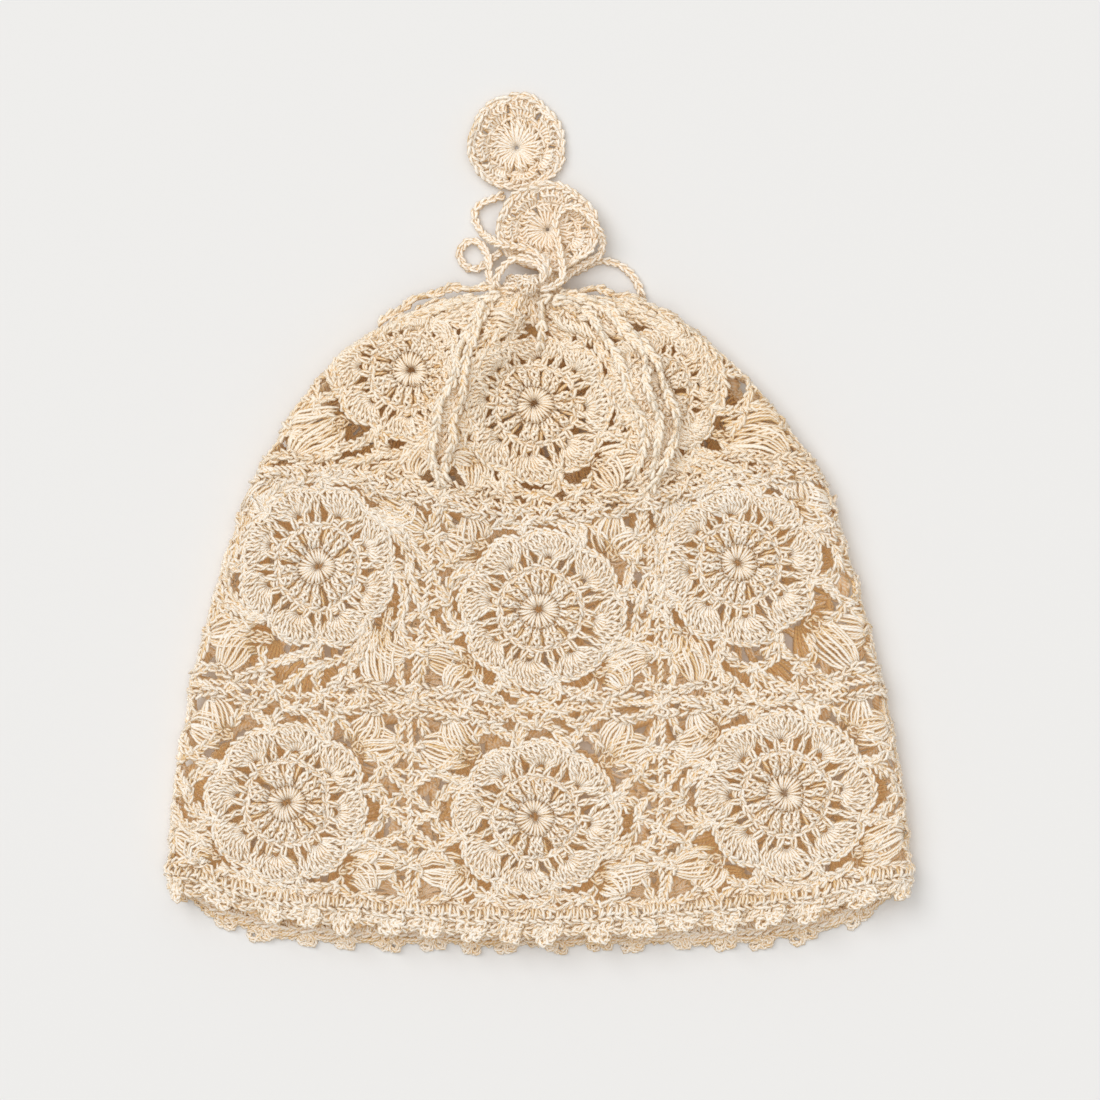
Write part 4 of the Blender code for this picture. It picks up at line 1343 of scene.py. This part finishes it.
def makeRowJoins(skein, motif):
    # chains beside the joinings to the rows below and above
    for way in (-1, 1):
        if not 0 <= motif["row"] + way < hat["rows"]:
            continue
        for hand in (-1, 1):
            across = np.linspace(0.13, 0.5, 24) * hand
            wave = 0.447 + 0.012 * np.sin(across * 27 + 2.3 * motif["column"] + way)
            flat = np.stack([across, wave * way], axis=1)
            chainOn(skein, flat, 0.0021, wide=chainStitch["open"], under=False, roll=net["roll"])


def makeNet(skein, motif):
    dice = skein["dice"]
    near = net["sideJoints"][1]
    edge = net["corner"]
    steps = 14
    sagShape = np.sin(np.linspace(0, math.pi, steps))
    coreSize = 1.0 if motif["front"] else net["backCore"]
    froms, tos, bows = (np.array(column) for column in zip(*netLinks()))
    for quarter in motifPlan["quarters"]:
        starts = turned(froms[:, 0], froms[:, 1], quarter)
        ends = turned(tos[:, 0], tos[:, 1], quarter)
        curves = bowed(starts, ends, bows + dice.normal(0, 0.05, len(bows)), steps)
        sag = dice.normal(0, 0.00035, (len(bows), 1)) * sagShape
        for line, outs in zip(*motifLace(motif, curves, net["height"] + sag)):
            chainAlong(
                skein, line, outs, net["size"], tone=netTone(motif, net["tone"]),
                wide=chainStitch["open"], coreSize=coreSize, roll=net["roll"],
            )
    # twisted strands along the joinings, and across the holes beside them
    size, gap, tone = net["joinSize"], net["joinGap"], netTone(motif, net["joinTone"])
    for number, quarter in enumerate(motifPlan["quarters"]):
        if number == 0 or (number == 1 and motif["row"] < topRow):
            t = np.linspace(-0.5, 0.5, 61)
            across = edge + 0.006 * np.sin(9 * t + motif["column"]) * np.cos(23 * t)
            pairsOn(skein, turned(across, t, quarter)[None], net["joinHeight"], gap, 30, size, tone)
        ups = np.array((-near * 2, 0.0, near * 2)) + dice.normal(0, 0.006, 3)
        starts = turned(net["loopApex"], ups, quarter)
        curves = bowed(starts, turned(edge, ups, quarter), dice.normal(0, 0.1, 3), 7)
        pairsOn(skein, curves, net["joinHeight"], gap, 2.6, size, tone)


# Ropes of chain stitches that lie together on the crown's folds: places in the plane, and how far
# each rope lies beside those and above the lace, in millimetres
ridgeRopes = {
    -1: ((
        (-16.4, 115.6), (-21.1, 105.5), (-27.2, 92.3), (-32.2, 76.2), (-35.2, 60.0), (-34.0, 43.3),
    ), ((-2.9, 4.0), (0.6, 5.2))),
    0: (((2.0, 114.5), (2.8, 108.0), (0.6, 101.5), (2.2, 94.0)), ((0.0, 5.0),)),
    1: ((
        (6.0, 113.4), (21.5, 110.6), (28.2, 102.6), (35.8, 93.4), (39.7, 81.2), (43.8, 70.1),
        (43.5, 58.0), (38.0, 45.0),
    ), ((-2.6, 5.2), (0.9, 4.6), (6.2, 3.6))),
}
# Ropes along the top edge of the crown, left and right of the knot, all in millimetres
edgeRopes = {
    -1: (
        (-57.0, 104.4, 6.5), (-49.3, 110.6, 6.8), (-42.2, 114.0, 7.2), (-35.0, 116.5, 7.6),
        (-26.0, 117.6, 8.2), (-16.5, 117.0, 9.5), (-8.5, 116.6, 11.5),
    ),
    1: (
        (2.5, 116.2, 11.5), (10.0, 115.9, 10.0), (20.0, 116.8, 8.6), (28.5, 115.4, 8.0),
        (38.0, 112.2, 7.4), (48.0, 107.0, 7.0), (57.0, 100.6, 6.6),
    ),
}
crownRope = {
    "step": 0.0012,  # between the points of a rope's way
    "ridgeSize": 1.15,
    # painted light: the ridge ropes, which stand highest, are toned lighter than the edge ropes
    "ridgeTone": 0.72,
    "ridgeRoll": 0.9,
    "edgeSize": 1.05,
    "edgeTone": 0.54,
    "edgeRoll": 1.0,
    "edgeGap": 0.0042,  # between the two ropes of the edge
    "wide": 1.2,
}
# Bundles of strands gathered under the knot: first and last strand's middle, each strand's way in
# the plane and its height above the lace, in millimetres, how many there are, and their tone
gathers = (
    ((6.4, 105.2), (18.8, 100.7), (2.8, -5.8), 2.4, 11, 0.68),
    ((22.4, 108.6), (30.0, 109.6), (0.8, -4.8), 3.2, 8, 0.68),
    ((-14.0, 109.0), (-11.2, 102.0), (8.8, -2.0), 2.2, 6, 0.62),
)


def placesUnder(goal):
    # places round and up the hat under points of the plane
    marks = np.meshgrid(np.linspace(-0.8, 0.8, 81), np.linspace(1.4, 2.94, 78), indexing="ij")
    turn, level = (grid.ravel() for grid in marks)
    spots = outerSide(turn, level)[:, :2]
    near = ((goal[:, None] - spots[None]) ** 2).sum(axis=2).argmin(axis=1)
    return np.stack(findPlaces(goal, turn[near], level[near]), axis=-1)


def makeGathers(skein):
    dice = skein["dice"]
    t = np.linspace(0, 1, 7)
    for first, last, way, height, count, tone in gathers:
        order = np.linspace(-1, 1, count)
        middles = np.array(first) + (np.array(last) - first) * (order[:, None] + 1) / 2
        flat = middles[:, None] + np.array(way) * (t[:, None] - 0.5)
        flat = flat + dice.normal(0, 0.22, flat.shape)
        spots = placesUnder(flat.reshape(-1, 2) / 1000).reshape(flat.shape)
        rise = (1.4 + dice.normal(0, 0.30, count)) * np.sqrt(1.1 - order ** 2)
        above = height + rise[:, None] * np.sin(math.pi * t)
        points, outs = onLace(spots, above / 1000)
        shade = tone + dice.normal(0, 0.10, count)[:, None]
        # painted shade: darker at both ends, where the strands go under the lace
        shade = shade + np.interp(t, (0, 0.2, 0.8, 1), (-0.4, 0, 0, -0.4))
        addStrands(skein, points, outs, yarn["radius"] * 1.15, shade)


def makeRidgeRopes(skein, side):
    spots, besides = ridgeRopes[side]
    middle = smoothRoute(spots, crownRope["step"])
    ways = unit(np.gradient(middle, axis=0))
    across = np.stack([ways[:, 1], -ways[:, 0]], axis=1)
    sway = np.linspace(0, 1, len(middle))
    for number, (beside, height) in enumerate(besides):
        wave = beside * np.interp(sway, (0, 0.25, 1), (0.45, 1, 1.15))
        wave = wave + 0.9 * np.sin(8 * sway + 2.1 * number) + 0.4 * np.sin(23 * sway + number)
        places = placesUnder(middle + across * wave[:, None] / 1000)
        last = len(places) - skein["dice"].integers(0, 6 if side else 2)
        above = np.interp(sway, (0, 0.78, 1), (1, 1, 0.55)) * height / 1000
        line, outs = onLace(places[:last], above[:last])
        size, tone, roll = (crownRope[key] for key in ("ridgeSize", "ridgeTone", "ridgeRoll"))
        chainAlong(skein, line, outs, size, tone=tone, wide=crownRope["wide"], roll=roll)


def makeEdgeRopes(skein, side):
    line = smoothRoute(edgeRopes[side], crownRope["step"])
    sway = np.linspace(0, 1, len(line))[:, None]
    outs = np.tile(unit(np.array((0.0, 0.35, 1.0))), (len(line), 1))
    size, tone, roll = (crownRope[key] for key in ("edgeSize", "edgeTone", "edgeRoll"))
    for inward in (0.0, crownRope["edgeGap"]):
        wave = np.sin(sway * 25 + inward * 900) * (0.0, 0.0007, 0.0003)
        way = line + (0.0, -inward, 0.30 * inward) + wave
        chainAlong(skein, way, outs, size, tone=tone, wide=crownRope["wide"], roll=roll)


layers = {
    "front": {"size": 1.08, "sides": 4, "cotton": laceCotton, "topCotton": crownCotton, "seed": 100},
    "back": {"size": 1.28, "sides": 3, "cotton": shadedCotton, "topCotton": deepCotton, "seed": 150},
}
backTurn = -6  # degrees that each flower of the back layer is turned
rowNames = ("low", "mid", "top")
sideNames = ("left", "middle", "right")


def makeMotif(layer, row, place):
    facts = layers[layer]
    column = place - 1
    front = layer == "front"
    if front:
        motif = {"front": True, "column": column, "row": row}
        motif["turn"] = math.radians(frontFlowers[column, row][2])
        motif["shift"] = fitFlower(motif)
    else:
        column = hat["across"] - column
        motif = {"front": False, "column": column, "row": row, "turn": math.radians(backTurn)}
    skein = newSkein(facts["seed"] + 10 * row + place, facts["size"], partial(motifLace, motif))
    for makePart in (makeWoundRing, makePosts, makePetals, makePuffs):
        makePart(skein, motif)
    if row == topRow:
        makeCrownRows(skein, motif)
    if front:
        makeRowJoins(skein, motif)
    makeNet(skein, motif)
    if front and row == topRow:
        makeRidgeRopes(skein, column)
        if column:
            makeEdgeRopes(skein, column)
        else:
            makeGathers(skein)
    cotton = facts["topCotton" if row == topRow else "cotton"]
    title = f"{layer}_{rowNames[row]}_{sideNames[place]}"
    piece = windUp(f"lace_{title}", skein, facts["sides"], cotton, f"motif_{title}")
    return len(piece.data.polygons)


faces = 0
for layer in layers:
    for row in range(hat["rows"]):
        for place in range(hat["across"]):
            faces += makeMotif(layer, row, place)
print(f"beanie: 18 motifs, {faces} faces")

# The band at the opening, its picots and the swags between them
hem = {
    "size": 1.08,  # of its strands
    "singles": 30,  # upright stitches for each motif
    "top": 0.0004,  # above the first level
    "band": -0.0030,
    "backLift": 0.0022,  # the band is narrower on the back layer
    "arches": 6,  # gaps over the band for each motif, with a picot between two
    "archRise": 0.0018,
    # upright stitches on the outer and the inner side: heights, twist, size, tone
    # painted light: the inner side's stitches are toned lighter, against the shade inside the hat
    "outerStitch": ((0.0006, 0.0024, 0.0029, 0.0026, 0.0018), 0.30, 1.05, 0.52),
    "innerStitch": ((0.0010, 0.0002, 0.0000, 0.0002, 0.0008), 0.40, 1.10, 0.66),
    "gap": 0.7,  # between the strands of a stitch, in millimetres
    "points": 1200,  # of a round of chain
    # small loops of a picot: right and down of its middle, and radius, in millimetres
    "picotLoops": ((-3.3, -1.2, 1.9), (3.3, -1.4, 1.8), (-1.5, -3.6, 1.9), (1.7, -3.9, 1.7)),
    "picotHeight": 0.0013,
    # how tall a picot is, its tone, and how far the swag beside it hangs, in metres; the back picots'
    # tone is painted lighter, against the front layer's shade
    "frontPicot": (1.15, 0.50, 0.0026),
    "backPicot": (0.90, 0.68, 0.0006),
    "picotHalf": 0.0030,  # from a picot's middle to where the swag starts
}


def bandAt(places):
    back = softStep((places - foldAt) / 0.3) * softStep((around - foldAt - places) / 0.3)
    return hem["band"] + hem["backLift"] * back


def makeBand(skein):
    dice = skein["dice"]
    arches, top = hem["arches"], hem["top"]
    count = around * hem["singles"]
    places = (np.arange(count) + dice.normal(0, 0.08, count)) / hem["singles"] - foldAt
    t = np.linspace(0, 1, 5)
    arch = np.cos(math.pi * arches * places) ** 2 * hem["archRise"]
    high = top + arch + dice.normal(0, 0.0002, count)
    drop = high[:, None] + (bandAt(places) - high)[:, None] * t
    lean = np.sin(math.tau * arches * places) * 0.010
    turn = places[:, None] + (dice.normal(0, 0.002, (count, 1)) - lean[:, None]) * (1 - t)
    flat = np.stack([turn, drop / pitch], axis=-1)
    # the inner side too, where the back layer shows it
    for key, shown in (("outerStitch", places < around), ("innerStitch", places > foldAt - 0.2)):
        height, twist, size, tone = hem[key]
        pairsOn(skein, flat[shown], height, hem["gap"], twist, size, tone)

    rounds = np.linspace(0, around, hem["points"], endpoint=False) - foldAt
    wave = np.cos(math.pi * arches * rounds) ** 2
    band = bandAt(rounds)
    for line, lift, size, tone, inside in (
        (top + wave * hem["archRise"], 0.0004, 0.90, 0.42, False),
        (band - 0.0002 + 0.0008 * wave, 0.0021, 1.05, 0.54, False),
        (band - 0.0026 - 0.0008 * wave, 0.0012, 1.00, 0.44, False),
        # painted light: the row on the inner side is toned lighter
        (band - 0.0008, 0.0006, 1.1, 0.66, True),
    ):
        line = line + dice.normal(0, 0.00008, len(line))
        flat = np.stack([rounds, line / pitch], axis=-1)
        chainOn(skein, flat, lift, size, True, tone, under=inside, flip=inside, wide=1.15)


def makePicot(skein, middle):
    # a lump of small loops on three stitches, and the swag of chain to the next one
    dice = skein["dice"]
    lean = dice.normal(0, 0.28)
    reach, tone, sag = hem["frontPicot" if middle < foldAt else "backPicot"]
    tall = dice.uniform(0.95, 1.15) * reach
    root = np.array((middle, (bandAt(middle) - 0.0014) / pitch))
    turns = np.linspace(0, math.tau, 14)
    for number, (right, up, radius) in enumerate(hem["picotLoops"]):
        spot = np.array((right * math.cos(lean) - up * math.sin(lean), up * tall))
        spot = spot + dice.normal(0, 0.42, 2)
        loop = polar(radius * (1 + 0.22 * np.sin(2 * turns + 6 * lean)), turns) + spot
        lift = hem["picotHeight"] + 0.0006 * (number % 2) + 0.0006 * np.sin(turns + number)
        pairsOn(skein, (root + loop / 1000 / pitch)[None], lift, hem["gap"], 5.0, 1.15, tone)
    spread = np.linspace(-1, 1, 3)
    starts = np.stack([spread * 2.6, np.full(3, 0.8)], axis=1) / 1000
    ends = np.stack([spread * 1.8, (-4.4 + 0.8 * np.abs(spread)) * tall], axis=1) / 1000
    flat = root + bowed(starts, ends, 0.0, 4) / pitch
    pairsOn(skein, flat, hem["picotHeight"], 0.6, 1.2, 1.1, tone - 0.12)
    swag = np.linspace(0, 1, 14)
    low = root[1] - (0.0012 + sag * np.sin(swag * math.pi)) / pitch
    half = hem["picotHalf"]
    across = middle + half / pitch + (1 / hem["arches"] - 2 * half / pitch) * swag
    flat = np.stack([across, low], axis=-1)
    chainOn(skein, flat, hem["picotHeight"], 0.95, tone=tone - 0.05)


def makeHem():
    skein = newSkein(71, hem["size"], onLace)
    makeBand(skein)
    picots = around * hem["arches"]
    middles = (np.arange(picots) + 0.5) / hem["arches"] - foldAt
    for middle in middles + skein["dice"].normal(0, 0.006, picots):
        makePicot(skein, middle)
    piece = windUp("hemLace", skein, 4, laceCotton, "hem_band")
    print(f"beanie: hem, {len(piece.data.polygons)} faces")


makeHem()

print(f"beanie: {sum(triangles)} triangles in all, {max(triangles)} in the largest piece")
print("beanie: done")
